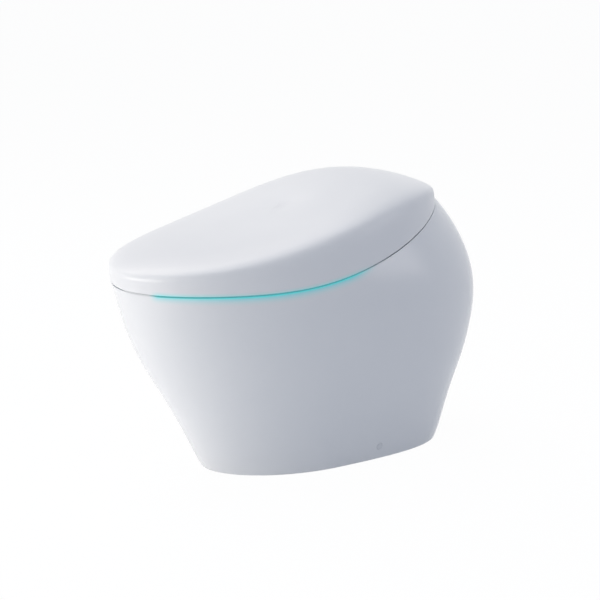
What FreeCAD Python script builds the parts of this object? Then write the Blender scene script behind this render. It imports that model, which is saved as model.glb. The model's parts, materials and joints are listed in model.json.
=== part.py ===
import FreeCAD
import Part
import Sketcher
import math
import os
import re
from FreeCAD import Placement, Rotation, Vector

# A one-piece egg-shaped smart toilet. Millimetres, +Z up; the sitter faces -Y with their left hand at +X.
# The origin is on the floor under the middle of the whole object.

SIZES = {
    # Outer form: horizontal ovals from the foot to the crown. Front and rear are reaches from the origin,
    # heights count from the floor and rises from the rim.
    "foot_front": 211.0, "foot_rear": 311.0, "foot_half": 134.0,
    "ankle_height": 50.0, "ankle_front": 236.0, "ankle_rear": 332.0, "ankle_half": 140.5,
    "calf_height": 110.0, "calf_front": 265.0, "calf_rear": 350.0, "calf_half": 156.0,
    "knee_height": 180.0, "knee_front": 303.5, "knee_rear": 374.5, "knee_half": 178.0,
    "belly_height": 250.0, "belly_front": 340.5, "belly_rear": 393.0, "belly_half": 196.0,
    "bulge_height": 320.0, "bulge_front": 366.5, "bulge_rear": 400.0, "bulge_half": 209.0,
    "brim_rise": 3.0, "brim_front": 386.0, "brim_rear": 383.0, "brim_half": 212.3,
    "shoulder_rise": 68.0, "shoulder_front": 406.5, "shoulder_rear": 348.0, "shoulder_half": 200.5,
    "crown_rise": 138.0, "crown_front": 414.0, "crown_rear": 286.0, "crown_half": 181.0,
    # Where each oval is widest, and how full its quarter curves are (0.55 is nearly an ellipse).
    "foot_widest": 22.0, "crown_widest": 4.0,
    "foot_front_fullness": 0.514, "brim_front_fullness": 0.597, "crown_front_fullness": 0.683,
    "foot_rear_fullness": 0.79, "crown_rear_fullness": 0.51,
    # The seam between ceramic and lid, seen from the side.
    "seam_nose_at": -419.0, "seam_nose_rise": 3.4,
    "seam_thigh_at": -242.0, "seam_thigh_rise": 8.2,
    "seam_middle_at": -55.0, "seam_middle_rise": 15.2,
    "seam_hip_at": 132.0, "seam_hip_rise": 61.8,
    "seam_back_at": 319.0, "seam_back_rise": 131.2,
    "seam_gap": 3.0,
    # Ceramic.
    "wall": 13.0, "lip": 14.0, "rim_height": 392.0, "rim_thickness": 14.0, "foot_round": 4.0,
    "bowl_wall": 10.0, "bowl_front_fullness": 0.56, "bowl_rear_fullness": 0.58, "bowl_widest": 172.0,
    "mouth_front": 335.0, "mouth_rear": 48.0, "mouth_half": 135.0,
    "upper_depth": 52.0, "upper_front": 322.0, "upper_rear": 38.0, "upper_half": 126.0,
    "middle_depth": 112.0, "middle_front": 285.0, "middle_rear": 10.0, "middle_half": 104.0,
    "lower_depth": 167.0, "lower_front": 228.0, "lower_rear": -22.0, "lower_half": 76.0,
    "sump_depth": 224.0, "sump_front": 160.0, "sump_rear": -70.0, "sump_half": 36.0,
    "trap_radius": 27.0, "trap_wall": 9.0, "trap_bend": 43.0, "trap_rise": 20.0, "trap_mouth_at": -95.0,
    "trap_knee_at": -10.0, "weir_rise": 74.0, "weir_run": 64.0, "spigot_height": 66.0,
    "deck_opening_half": 118.0, "deck_opening_front": 110.0, "deck_opening_rear": 322.0,
    "deck_corner": 20.0, "arch_half": 58.0, "arch_height": 80.0, "arch_corner": 30.0, "arch_depth": 70.0,
    # Floor fixing.
    "side_screw_at": 120.0, "side_screw_height": 28.0, "side_screw_radius": 3.0, "side_screw_head": 5.5,
    "side_screw_head_depth": 3.0, "cap_radius": 7.0, "cap_clearance": 0.4, "cap_recess": 6.0,
    "cap_proud": 0.8, "cap_thickness": 2.4, "cap_dome": 0.8,
    "bracket_thickness": 5.0, "bracket_width": 40.0, "bracket_height": 46.0, "bracket_reach": 36.0,
    "bracket_gap": 0.3, "bracket_hole": 4.0, "side_screw_tail": 4.0,
    # Drain.
    "drain_at": 122.0, "drain_pipe_radius": 38.0, "drain_pipe_depth": 48.0, "drain_stop": 6.0,
    "drain_barrel_wall": 7.5, "drain_socket_gap": 2.5, "drain_socket_depth": 34.0,
    "drain_flange_radius": 75.0,
    "drain_flange_thickness": 8.0, "drain_hole": 3.2, "drain_hole_at": 62.0, "seal_gap": 0.05,
    "seal_height": 16.0,
    # Rear services.
    "panel_recess": 3.5, "panel_thickness": 5.0, "panel_gap": 0.4, "inlet_at": -33.0, "gland_at": 4.0,
    "service_height": 40.0,
    "inlet_radius": 10.475, "inlet_length": 20.0, "inlet_bore": 6.5, "inlet_flange": 16.0,
    "inlet_flange_thickness": 3.0, "inlet_nut_radius": 15.0, "inlet_nut_thickness": 6.0, "inlet_tail": 36.0,
    "gland_radius": 8.0, "gland_dome": 11.0, "gland_length": 16.0, "gland_bore": 3.6,
    "fitting_gap": 0.1, "fitting_seat": 0.2, "boss_rim": 1.5, "boss_out": 8.0, "boss_in": 17.0,
    "hose_radius": 7.0, "hose_bend": 30.0, "hose_down_at": 240.0, "hose_gap": 0.3,
    # Top unit.
    "plate_thickness": 4.0, "plate_gap": 3.0, "plate_front": 60.0, "plate_notch_half": 72.0,
    "plate_notch_rear": 196.0,
    "plate_screw_radius": 2.5, "plate_screw_head": 5.0, "plate_screw_head_height": 3.0,
    "plate_screw_length": 14.0,
    "screw_gap": 0.1, "plate_screw_side": 168.0, "plate_screw_front": 136.0, "plate_screw_back_side": 60.0,
    "plate_screw_back": 342.0,
    "cover_gap": 5.0, "cover_wall": 3.0, "cover_front": 118.0, "cover_rear": 240.0, "cover_lean": 8.0,
    "cover_front_height": 84.0, "cover_slope": 15.0, "cover_round": 9.0, "cover_slot_height": 16.0,
    "window_half": 30.0, "window_height": 14.0, "window_lift": 40.0, "window_thickness": 2.0,
    "window_proud": 0.6,
    "window_gap": 0.2, "button_radius": 8.0, "button_height": 9.0, "button_gap": 0.3, "button_side": 112.0,
    "button_back": 62.0, "button_proud": 2.6, "button_round": 1.2, "button_cup_wall": 2.0,
    "button_cup_depth": 10.5,
    "tank_half": 108.0, "tank_front": 200.0, "tank_rear": 312.0, "tank_height": 156.0, "tank_wall": 3.0,
    "tank_round": 14.0, "pump_side": 40.0, "pump_at": 256.0, "pump_radius": 32.0, "pump_height": 62.0,
    "pump_cap_radius": 22.0, "pump_cap_height": 12.0,
    "rim_nozzle_at": -50.0, "rim_nozzle_drop": 28.0, "rim_nozzle_radius": 8.0, "rim_nozzle_bore": 5.0,
    "rim_nozzle_inner": 121.0, "rim_nozzle_outer": 152.0, "rim_nozzle_gap": 0.2, "rim_hose_radius": 8.0,
    "rim_hose_side": 174.0, "rim_hose_turn_at": 60.0, "rim_hose_turn_height": 300.0,
    "rim_hose_low_side": 118.0, "rim_hose_low_at": 190.0, "rim_hose_bend": 20.0,
    "heater_left": 72.5, "heater_right": 134.0, "heater_front": 134.0, "heater_rear": 204.0,
    "heater_height": 40.0, "heater_round": 8.0, "heater_port": 4.0, "heater_port_length": 8.0,
    "board_thickness": 1.6, "board_margin": 6.0, "standoff_radius": 3.0, "standoff_height": 6.0,
    "valve_left": 52.0, "valve_right": 120.0, "valve_front": 209.0, "valve_rear": 234.0,
    "valve_height": 24.0, "coil_radius": 9.0, "coil_height": 22.0, "coil_count": 2.0,
    "supply_left": -60.0, "supply_right": -20.0, "supply_front": 202.0, "supply_rear": 234.0,
    "supply_height": 48.0, "supply_round": 3.0,
    "filter_left": 137.0, "filter_right": 157.0, "filter_front": 142.0, "filter_rear": 188.0,
    "filter_height": 34.0,
    "filter_slot": 3.0, "filter_slot_count": 5.0, "filter_slot_depth": 4.0, "filter_slot_margin": 6.0,
    # Washing wand, in a frame that slopes down to the bowl.
    "wand_exit": 50.0, "wand_drop": 28.0, "wand_slope": 20.0, "wand_radius": 8.0, "wand_gap": 0.3,
    "wand_rear": 192.0,
    "wand_bore": 5.0, "wand_tip_front": -2.0, "wand_tip_length": 18.0, "wand_tip_hole": 1.0,
    "wand_tip_flat": 6.5,
    "wand_travel": 78.0, "guide_half": 12.0, "guide_under": 12.0, "guide_over": 14.0, "guide_front": 4.0,
    "guide_rear": 130.0, "rack_half": 2.5, "rack_gap": 0.5, "rack_front": 30.0, "rack_spine": 1.6,
    "gear_module": 1.0, "gear_teeth": 12.0, "gear_backlash": 0.3, "gear_at": 106.0, "gear_shaft": 2.0,
    "gear_shaft_gap": 0.05, "wand_motor_radius": 8.0, "wand_motor_height": 22.0, "gear_shaft_depth": 4.0,
    "tray_half": 70.0, "tray_floor": 2.5, "tray_front": 1.0, "tray_rear": 112.0, "tray_side": 2.5,
    "tray_side_height": 20.0, "trough_gap": 0.5, "trough_wall": 11.0, "trough_front": 30.0,
    "trough_rear": 130.0,
    "trough_block_front": 12.0, "trough_block_rear": 95.0, "trough_block_height": 30.0,
    "trough_height": 60.0,
    # Warm air dryer.
    "duct_left": -62.7, "duct_right": -20.0, "duct_half_height": 11.0, "duct_wall": 2.0, "duct_bend": 45.0,
    "duct_front": 3.0, "duct_rear": 196.0, "duct_lift": 12.3, "flap_gap": 0.4, "flap_thickness": 1.6,
    "flap_pin_radius": 1.2, "flap_pin_gap": 0.05, "flap_ear": 2.0, "flap_ear_radius": 2.6,
    "fan_at": 180.0, "fan_side": -107.5, "volute_radius": 44.0, "volute_wall": 3.0, "volute_height": 42.0,
    "fan_radius": 38.0, "fan_height": 30.0, "fan_hub": 12.0, "fan_floor": 2.0, "fan_blade": 1.6,
    "fan_blades": 16.0, "fan_blade_length": 12.0, "fan_lift": 1.0, "fan_shaft": 3.0, "fan_shaft_gap": 0.05,
    "dryer_motor_radius": 19.0, "dryer_motor_height": 22.0,
    # Seat.
    "seat_gap": 5.0, "seat_lift": 6.0, "seat_thickness": 20.0, "seat_rear": 76.0, "seat_wall": 4.0,
    "seat_round": 8.0,
    "seat_corner": 70.0, "hole_front": 290.0, "hole_rear": -12.0, "hole_half": 108.0, "hole_widest": 158.0,
    "seat_base_thickness": 3.0, "seat_base_gap": 0.3, "heater_film": 0.8, "heater_film_gap": 0.2,
    "heater_film_margin": 6.0, "seat_axis_at": 100.0, "seat_axis_lift": 16.0, "seat_pin_radius": 5.0,
    "pin_gap": 0.05, "lug_inner": 108.0, "lug_outer": 130.0, "lug_radius": 9.0, "lug_root": 24.0,
    "bearing_gap": 0.5, "bearing_width": 20.0, "bearing_half": 12.0, "bearing_over": 12.0,
    "damper_radius": 11.0, "damper_length": 22.0, "damper_gap": 0.3, "damper_wall": 1.5,
    "seat_buffer_radius": 9.0, "buffer_gap": 0.3, "seat_buffer_front_side": 62.0,
    "seat_buffer_front": -343.0, "seat_buffer_rear_side": 160.0, "seat_buffer_rear": -20.0,
    # Lid: a tilted pebble over the seam, with the rises of its top from the rim, along the tilted normal.
    "lid_tilt": 9.25, "lid_nose_rise": 111.6, "lid_thigh_rise": 116.4, "lid_middle_rise": 129.9,
    "lid_hip_rise": 143.6,
    "lid_back_rise": 93.0, "lid_crown": 13.3, "lid_edge_power": 9.3, "lid_wall": 4.0, "liner_gap": 0.3,
    "liner_wall": 2.7,
    "hinge_inset": 26.0, "hinge_rise": 7.0, "hinge_half": 30.0, "hinge_depth": 30.0, "hinge_barrel": 8.5,
    "hinge_gap": 1.0, "hinge_shoulder": 30.0, "notch_over": 10.5, "relief_gap": 1.3, "relief_half": 72.0,
    "relief_end": 14.0, "shaft_radius": 4.0, "shaft_head": 6.0, "shaft_head_thickness": 2.0,
    "bush_wall": 1.5,
    "bush_length": 10.0, "lid_lug_width": 10.0, "lid_lug_radius": 7.5, "lid_lug_length": 90.0,
    "lid_lug_depth": 10.0, "lid_lug_gap": 0.1,
    "yoke_thickness": 6.0, "yoke_height": 12.0, "yoke_length": 130.0, "yoke_rise": 16.0, "yoke_bar": 14.0,
    "yoke_boss": 6.5,
    "lid_drive_radius": 11.0, "lid_drive_height": 74.0, "lid_drive_gap": 0.3,
    "lid_buffer_width": 18.0, "lid_buffer_height": 14.0, "lid_buffer_bite": 16.0,
    "lid_buffer_front_side": 60.0, "lid_buffer_rear": -60.0,
    # Seam light.
    "light_inset": 1.2, "light_width": 5.3, "light_height": 1.8, "light_front": -382.0, "light_rear": 92.0,
    "strip_width": 3.0, "strip_height": 1.2, "strip_gap": 0.2,
}

STATIONS = ("foot", "ankle", "calf", "knee", "belly", "bulge", "brim", "shoulder", "crown")
RIM_STATIONS = ("brim", "shoulder", "crown")
SEAM_POINTS = ("nose", "thigh", "middle", "hip", "back")
BOWL_LEVELS = ("mouth", "upper", "middle", "lower", "sump")
SIDES = (-1, 1)
FLOOR = 0.0
LID_STEPS = 16
LID_FALLS = (0.25, 0.5, 0.7, 0.83, 0.91, 0.96, 0.985)
LID_INNER_RINGS = (0.65, 0.45, 0.22)
LID_TOP_STATIONS = (-1.0, -0.5, 0.0, 0.5, 1.0)
EDGE_SAMPLES = 400

doc = FreeCAD.newDocument("smart_toilet")
sheet = doc.addObject("Spreadsheet::Sheet", "sizes")
pieces = {}


def write_cell(row, name, value):
    """One row of the sheet: the name in column A, the number in column B under that alias."""
    sheet.set("A%d" % row, name)
    sheet.set("B%d" % row, str(value))
    sheet.setAlias("B%d" % row, name)


def fill_sheet(values):
    """Adds named values below those that the sheet already holds."""
    start = len(fill_sheet.names) + 1
    for row, (name, value) in enumerate(values.items(), start):
        write_cell(row, name, value)
        fill_sheet.names.append(name)
    doc.recompute()


fill_sheet.names = []
fill_sheet(SIZES)


def get(name):
    """A size in millimetres, or a plain number, as the sheet holds it."""
    return float(sheet.get(name))


def stand_on_rim():
    """Heights that are given as rises from the rim, added to the sheet as heights from the floor."""
    rim = get("rim_height")
    lid_rim = rim * math.cos(math.radians(get("lid_tilt")))
    heights = {name + "_height": rim + get(name + "_rise") for name in RIM_STATIONS}
    heights.update({"seam_%s_height" % name: rim + get("seam_%s_rise" % name) for name in SEAM_POINTS})
    heights.update({"lid_%s_top" % name: lid_rim + get("lid_%s_rise" % name) for name in SEAM_POINTS})
    fill_sheet(heights)


stand_on_rim()


def bound(text):
    """An expression in which every word stands for a cell of the sheet."""
    return re.sub(r"[a-z][a-z_]+", r"sizes.\g<0>", text)


def number(text):
    """The present value of such an expression, used to draw a sketch before its constraints are bound."""
    probe = doc.getObject("probe") or doc.addObject("App::FeaturePython", "probe")
    if not hasattr(probe, "Value"):
        probe.addProperty("App::PropertyFloat", "Value")
    probe.setExpression("Value", bound(text))
    probe.recompute()
    return probe.Value


def bind(item, field, text):
    item.setExpression(field, bound(text))


def place(item, x="0", y="0", z="0"):
    """Binds the place of an object's own origin."""
    for axis, text in zip("xyz", (x, y, z)):
        if text != "0":
            bind(item, "Placement.Base." + axis, text)
    return item


def piece(item, label=None):
    """Marks an object as a finished sub-part. Its label names its file."""
    item.Label = label or item.Label
    pieces[item.Label] = item
    return item


def feature(label, shape):
    """A sub-part whose free form comes from Part's own functions."""
    item = doc.addObject("Part::Feature", label)
    item.Shape = shape
    return piece(item, label)


def box(label, x, y, z):
    """A block between two bounds on each axis."""
    item = doc.addObject("Part::Box", label)
    for field, (low, high) in zip(("Length", "Width", "Height"), (x, y, z)):
        bind(item, field, "(%s) - (%s)" % (high, low))
    return place(item, x[0], y[0], z[0])


TURNS = {
    "X": Rotation(Vector(0, 1, 0), 90),
    "Y": Rotation(Vector(1, 0, 0), -90),
    "Z": Rotation(),
}


def rod(label, axis, radius, low, high, first, second):
    """A cylinder along an axis, between two bounds, at two coordinates of the other axes."""
    item = doc.addObject("Part::Cylinder", label)
    item.Placement.Rotation = TURNS[axis]
    bind(item, "Radius", radius)
    bind(item, "Height", "(%s) - (%s)" % (high, low))
    spots = {"X": (low, first, second), "Y": (first, low, second), "Z": (first, second, low)}
    return place(item, *spots[axis])


def fused(label, *items):
    item = doc.addObject("Part::MultiFuse", label)
    item.Shapes = list(items)
    return item


def grouped(label, *items):
    item = doc.addObject("Part::Compound", label)
    item.Links = list(items)
    return item


def cut(label, base, *tools):
    item = doc.addObject("Part::Cut", label)
    item.Base = base
    item.Tool = tools[0] if len(tools) == 1 else fused(label + "_tools", *tools)
    return item


def rounded(label, base, radius, pick):
    """Fillets the edges of a Part object that pick chooses."""
    doc.recompute()
    item = doc.addObject("Part::Fillet", label)
    item.Base = base
    chosen = [i for i, edge in enumerate(base.Shape.Edges, 1) if pick(edge)]
    item.Edges = [(i, get(radius), get(radius)) for i in chosen]
    return item


def upright(edge):
    """True for a straight edge along Z."""
    return edge.Curve.TypeId == "Part::GeomLine" and abs(edge.tangentAt(edge.FirstParameter).z) > 0.999


def mirrored_pair(label, make):
    """Two like solids, one on each side, grouped as one sub-part."""
    return piece(grouped(label, *[make(side) for side in SIDES]), label)


def signed(side, text):
    """An expression on the +X side, or its mirror."""
    return text if side > 0 else "-(%s)" % text


def span(side, low, high):
    """Bounds along X on one side, given those on the +X side."""
    return (low, high) if side > 0 else ("-(%s)" % high, "-(%s)" % low)


def sketch_on(body, role, label):
    plane = [item for item in body.Origin.OriginFeatures if item.Role == role][0]
    sketch = body.newObject("Sketcher::SketchObject", label)
    sketch.AttachmentSupport = [(plane, "")]
    sketch.MapMode = "FlatFace"
    return sketch


def polygon(sketch, points):
    """A closed outline whose corners are bound to the sheet."""
    spots = [Vector(number(x), number(y), 0) for x, y in points]
    first = sketch.GeometryCount
    count = len(spots)
    for start, end in zip(spots, spots[1:] + spots[:1]):
        sketch.addGeometry(Part.LineSegment(start, end), False)
    for i in range(count):
        after = first + (i + 1) % count
        sketch.addConstraint(Sketcher.Constraint("Coincident", first + i, 2, after, 1))
    for i, texts in enumerate(points):
        for kind, text, value in zip(("DistanceX", "DistanceY"), texts, (spots[i].x, spots[i].y)):
            row = sketch.addConstraint(Sketcher.Constraint(kind, -1, 1, first + i, 1, value))
            bind(sketch, "Constraints[%d]" % row, text)


def circle(sketch, radius, x="0", y="0"):
    """A circle whose radius and centre are bound to the sheet."""
    centre = Vector(number(x), number(y), 0)
    index = sketch.addGeometry(Part.Circle(centre, Vector(0, 0, 1), number(radius)), False)
    row = sketch.addConstraint(Sketcher.Constraint("Radius", index, number(radius)))
    bind(sketch, "Constraints[%d]" % row, radius)
    for kind, text, value in (("DistanceX", x, centre.x), ("DistanceY", y, centre.y)):
        row = sketch.addConstraint(Sketcher.Constraint(kind, -1, 1, index, 3, value))
        bind(sketch, "Constraints[%d]" % row, text)


def turned(label, points):
    """A body revolved about its own Z axis, from corners given as radius and height."""
    body = doc.addObject("PartDesign::Body", label)
    sketch = sketch_on(body, "XZ_Plane", label + "_profile")
    polygon(sketch, points)
    spin = body.newObject("PartDesign::Revolution", label + "_turn")
    spin.Profile = sketch
    spin.ReferenceAxis = (sketch, ["V_Axis"])
    spin.Angle = 360
    return piece(body, label)


def padded(label, role, points, length):
    """A body padded from a polygon on one of its origin planes."""
    body = doc.addObject("PartDesign::Body", label)
    sketch = sketch_on(body, role, label + "_outline")
    polygon(sketch, points)
    pad = body.newObject("PartDesign::Pad", label + "_pad")
    pad.Profile = sketch
    bind(pad, "Length", length)
    return piece(body, label)


# The outer form and the seam

def oval(z, front, rear, half, widest, front_fullness, rear_fullness):
    """A level oval of four Bezier quarters, from its reaches and its widest line."""
    quarters = []
    for side, reach, full in (
        (1, rear - widest, rear_fullness),
        (-1, rear - widest, rear_fullness),
        (-1, -front - widest, front_fullness),
        (1, -front - widest, front_fullness),
    ):
        curve = Part.BezierCurve()
        curve.setPoles([
            Vector(side * half, widest, z),
            Vector(side * half, widest + full * reach, z),
            Vector(side * full * half, widest + reach, z),
            Vector(0, widest + reach, z),
        ])
        quarters.append(curve.toShape())
    return Part.Wire(Part.__sortEdges__(quarters))


def between(low, high, share):
    return low + (high - low) * share


def station_height(name):
    return FLOOR if name == STATIONS[0] else get(name + "_height")


def front_fullness(z):
    """How full the front quarters are at a height, straight between the foot, the brim and the crown."""
    brim, crown = get("brim_height"), get("crown_height")
    full = get("brim_front_fullness")
    if z < brim:
        return between(get("foot_front_fullness"), full, z / brim)
    return between(full, get("crown_front_fullness"), (z - brim) / (crown - brim))


def station_oval(name, inset):
    """One oval of the outer form, drawn in by inset all round."""
    z = station_height(name)
    share = z / station_height(STATIONS[-1])
    return oval(
        z,
        get(name + "_front") - inset,
        get(name + "_rear") - inset,
        get(name + "_half") - inset,
        between(get("foot_widest"), get("crown_widest"), share),
        front_fullness(z),
        between(get("foot_rear_fullness"), get("crown_rear_fullness"), share),
    )


def envelope(inset=0.0):
    """The solid inside the outer form, drawn in by inset."""
    return Part.makeLoft([station_oval(name, inset) for name in STATIONS], True, False, False)


def reach():
    """A length that spans the whole object from any point of it."""
    return get("bulge_front") + get("bulge_rear") + get("crown_height")


def slab(low, high):
    """Everything between two heights."""
    wide = reach()
    return Part.makeBox(2 * wide, 2 * wide, high - low, Vector(-wide, -wide, low))


def column(x_low, x_high, y_low, y_high):
    """Everything between two bounds in X and two in Y."""
    tall = reach()
    return Part.makeBox(x_high - x_low, y_high - y_low, 2 * tall, Vector(x_low, y_low, -tall))


def seam_points(lift=0.0):
    names = ["seam_" + name for name in SEAM_POINTS]
    return [Vector(0, get(name + "_at"), get(name + "_height") + lift) for name in names]


def seam_line(lift=0.0):
    """The seam in side view, carried on straight past both ends."""
    points = seam_points(lift)
    curve = Part.BSplineCurve()
    curve.interpolate(points)
    far = reach()
    first, last = points[0], points[-1]
    rise = (last - points[-2]).normalize() * far
    return [
        Part.makeLine(Vector(0, first.y - far, first.z), first),
        curve.toShape(),
        Part.makeLine(last, last + rise),
    ]


def under_seam(lift=0.0):
    """Everything below the seam, lifted by a gap."""
    far = reach()
    line = seam_line(lift)
    start = line[0].Vertexes[0].Point
    end = line[-1].Vertexes[-1].Point
    low_end, low_start = Vector(0, end.y, -far), Vector(0, start.y, -far)
    closing = [
        Part.makeLine(end, low_end), Part.makeLine(low_end, low_start), Part.makeLine(low_start, start),
    ]
    face = Part.Face(Part.Wire(Part.__sortEdges__(line + closing)))
    face.translate(Vector(-far, 0, 0))
    return face.extrude(Vector(2 * far, 0, 0))


def slice_face(solid, z):
    """The level section of a solid as a face."""
    return Part.Face(solid.slice(Vector(0, 0, 1), z)[0])


def rear_at(z):
    """How far back the outer form reaches at a height, on the middle line."""
    return slice_face(envelope(), z).optimalBoundingBox().YMax


def half_at(y, z, inset=0.0):
    """Half the width of the outer form, drawn in by inset, at a place."""
    line = Part.makeLine(Vector(0, y, z), Vector(reach(), y, z))
    return max(vertex.X for vertex in line.common(envelope(inset)).Vertexes)


def seam_wire():
    """The closed curve where the seam meets the outer form."""
    far = reach()
    line = Part.Wire(seam_line())
    line.translate(Vector(-far, 0, 0))
    sheet_face = line.extrude(Vector(2 * far, 0, 0)).common(envelope())
    outline = Part.Wire(Part.__sortEdges__(Part.makeShell(sheet_face.Faces).getFreeEdges().Edges)) \
        if len(sheet_face.Faces) > 1 else sheet_face.Faces[0].OuterWire
    return outline


def derive():
    """Places that follow from the outer form, added to the sheet for the parts that are bound to it."""
    back = max(seam_wire().discretize(Number=EDGE_SAMPLES), key=lambda point: point.y)
    fill_sheet({
        "lid_axis_at": round(back.y - get("hinge_inset"), 3),
        "lid_axis_height": round(back.z + get("hinge_rise"), 3),
        "service_face": round(rear_at(get("service_height")) - get("panel_recess"), 3),
        "side_face": round(half_at(get("side_screw_at"), get("side_screw_height")), 3),
        "foot_inner": round(half_at(get("side_screw_at") + get("bracket_width") / 2, FLOOR, get("wall")), 3),
        "plate_top": get("rim_height") + get("plate_thickness"),
        "seat_bottom": get("rim_height") + get("seat_lift"),
        "seat_top_height": get("rim_height") + get("seat_lift") + get("seat_thickness"),
        "seat_axis_height": get("rim_height") + get("seat_axis_lift"),
        "wand_exit_height": get("rim_height") - get("wand_drop"),
        "gear_pitch": get("gear_module") * get("gear_teeth") / 2,
        "gear_side": (
            get("wand_radius") + get("rack_spine") + get("gear_module") * (1.25 + get("gear_teeth") / 2)
        ),
        "rack_rear": get("gear_at") + get("wand_travel") + get("gear_module") * math.pi * 2,
    })


derive()


# Ceramic

def bowl_oval(level, grow=0.0, sink=0.0):
    depth = 0.0 if level == BOWL_LEVELS[0] else get(level + "_depth")
    front, rear = get(level + "_front") + grow, get(level + "_rear") + grow
    share = get("bowl_widest") / (get("mouth_front") + get("mouth_rear"))
    return oval(
        get("rim_height") - depth - sink,
        front,
        rear,
        get(level + "_half") + grow,
        rear - (front + rear) * share,
        get("bowl_front_fullness"),
        get("bowl_rear_fullness"),
    )


def bowl_outside():
    wall = get("bowl_wall")
    levels = [bowl_oval(level, wall) for level in BOWL_LEVELS[:-1]]
    return Part.makeLoft(levels + [bowl_oval(BOWL_LEVELS[-1], wall, wall)], True, False, False)


def bowl_inside():
    brim = bowl_oval(BOWL_LEVELS[0], 0.0, -get("bowl_wall"))
    return Part.makeLoft([brim] + [bowl_oval(level) for level in BOWL_LEVELS], True, False, False)


def rounded_path(points, bend):
    """Straight runs joined by tangent arcs of one radius."""
    edges = []
    last = points[0]
    for before, corner, after in zip(points, points[1:], points[2:]):
        into, out = (before - corner).normalize(), (after - corner).normalize()
        half_turn = (math.pi - into.getAngle(out)) / 2
        run = bend * math.tan(half_turn)
        start, end = corner + into * run, corner + out * run
        middle = corner + (into + out).normalize() * (bend / math.cos(half_turn) - bend)
        edges += [Part.LineSegment(last, start).toShape(), Part.Arc(start, middle, end).toShape()]
        last = end
    return Part.Wire(edges + [Part.LineSegment(last, points[-1]).toShape()])


def tube(points, bend, radius):
    """A solid round bar along such a path."""
    section = Part.Wire(Part.makeCircle(radius, points[0], points[1] - points[0]))
    return rounded_path(points, bend).makePipeShell([section], True, False)


def hose(points, bend, radius, bore):
    return tube(points, bend, radius).cut(tube(points, bend, bore))


def trap_points(end):
    sump = get("rim_height") - get("sump_depth") + get("trap_rise")
    weir = sump + get("weir_rise")
    return [
        Vector(0, get("trap_mouth_at"), sump),
        Vector(0, get("trap_knee_at"), sump),
        Vector(0, get("drain_at") - get("weir_run"), weir),
        Vector(0, get("drain_at"), weir),
        Vector(0, get("drain_at"), end),
    ]


def slope():
    """The frame of the washing wand: Y runs up and back along the wand, Z stands square to it."""
    turn = Rotation(Vector(1, 0, 0), get("wand_slope"))
    return Placement(Vector(0, get("wand_exit"), get("wand_exit_height")), turn)


def sloped_block(x, y, z):
    """A block between bounds in the wand's frame."""
    block = Part.makeBox(x[1] - x[0], y[1] - y[0], z[1] - z[0], Vector(x[0], y[0], z[0]))
    block.Placement = slope().multiply(block.Placement)
    return block


def trough_under():
    return -get("guide_under") - get("tray_floor") - get("trough_gap")


def trough_block():
    """The ceramic round the trough that the wand's tray lies in, up to the rim."""
    half = get("tray_half") + get("trough_gap") + get("trough_wall")
    block = sloped_block(
        (-half, half),
        (-get("trough_block_front"), get("trough_block_rear")),
        (trough_under() - get("trough_wall"), get("trough_block_height")),
    )
    return block.common(slab(FLOOR, get("rim_height")))


def trough_hollow():
    half = get("tray_half") + get("trough_gap")
    return sloped_block(
        (-half, half),
        (-get("trough_front"), get("trough_rear")),
        (trough_under(), get("trough_height")),
    )


def rounded_prism(x_half, y_low, y_high, z_low, z_high, corner, axis):
    """A block whose edges along an axis are rounded."""
    block = Part.makeBox(2 * x_half, y_high - y_low, z_high - z_low, Vector(-x_half, y_low, z_low))
    along = [edge for edge in block.Edges if abs(edge.tangentAt(edge.FirstParameter).dot(axis)) > 0.999]
    return block.makeFillet(corner, along)


def deck_opening():
    return rounded_prism(
        get("deck_opening_half"),
        get("deck_opening_front"),
        get("deck_opening_rear"),
        get("rim_height") - get("rim_thickness") - get("trough_height"),
        get("rim_height") + get("plate_thickness"),
        get("deck_corner"),
        Vector(0, 0, 1),
    )


def arch(gap):
    """The service opening low in the back, drawn in by a gap."""
    foot = get("foot_rear")
    return rounded_prism(
        get("arch_half") - gap,
        foot - get("arch_depth"),
        foot + get("arch_depth"),
        FLOOR - get("arch_height"),
        FLOOR + get("arch_height") - gap,
        get("arch_corner"),
        Vector(0, 1, 0),
    )


def bar(radius, start, end):
    """A round bar between two points."""
    line = end - start
    return Part.makeCylinder(radius, line.Length, start, line)


def side_holes():
    """The fixing holes low in both sides, with a wide mouth for the cap."""
    tools = []
    spot = get("side_screw_at"), get("side_screw_height")
    face = get("side_face")
    for side in SIDES:
        inner = Vector(side * (face - get("wall") * 2), *spot)
        mouth = Vector(side * (face - get("cap_recess")), *spot)
        outer = Vector(side * (face + get("wall")), *spot)
        tools.append(bar(get("side_screw_radius") + get("fitting_seat"), inner, outer))
        tools.append(bar(get("cap_radius") + get("cap_clearance"), mouth, outer))
    return tools


def plate_screw_spots():
    front = [(side * get("plate_screw_side"), get("plate_screw_front")) for side in SIDES]
    return front + [(side * get("plate_screw_back_side"), get("plate_screw_back")) for side in SIDES]


def plate_screw_holes():
    top = get("plate_top") + get("plate_screw_head_height")
    low = get("plate_top") - get("plate_screw_length") - get("screw_gap")
    radius = get("plate_screw_radius") + get("screw_gap")
    return [bar(radius, Vector(x, y, low), Vector(x, y, top)) for x, y in plate_screw_spots()]


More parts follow.
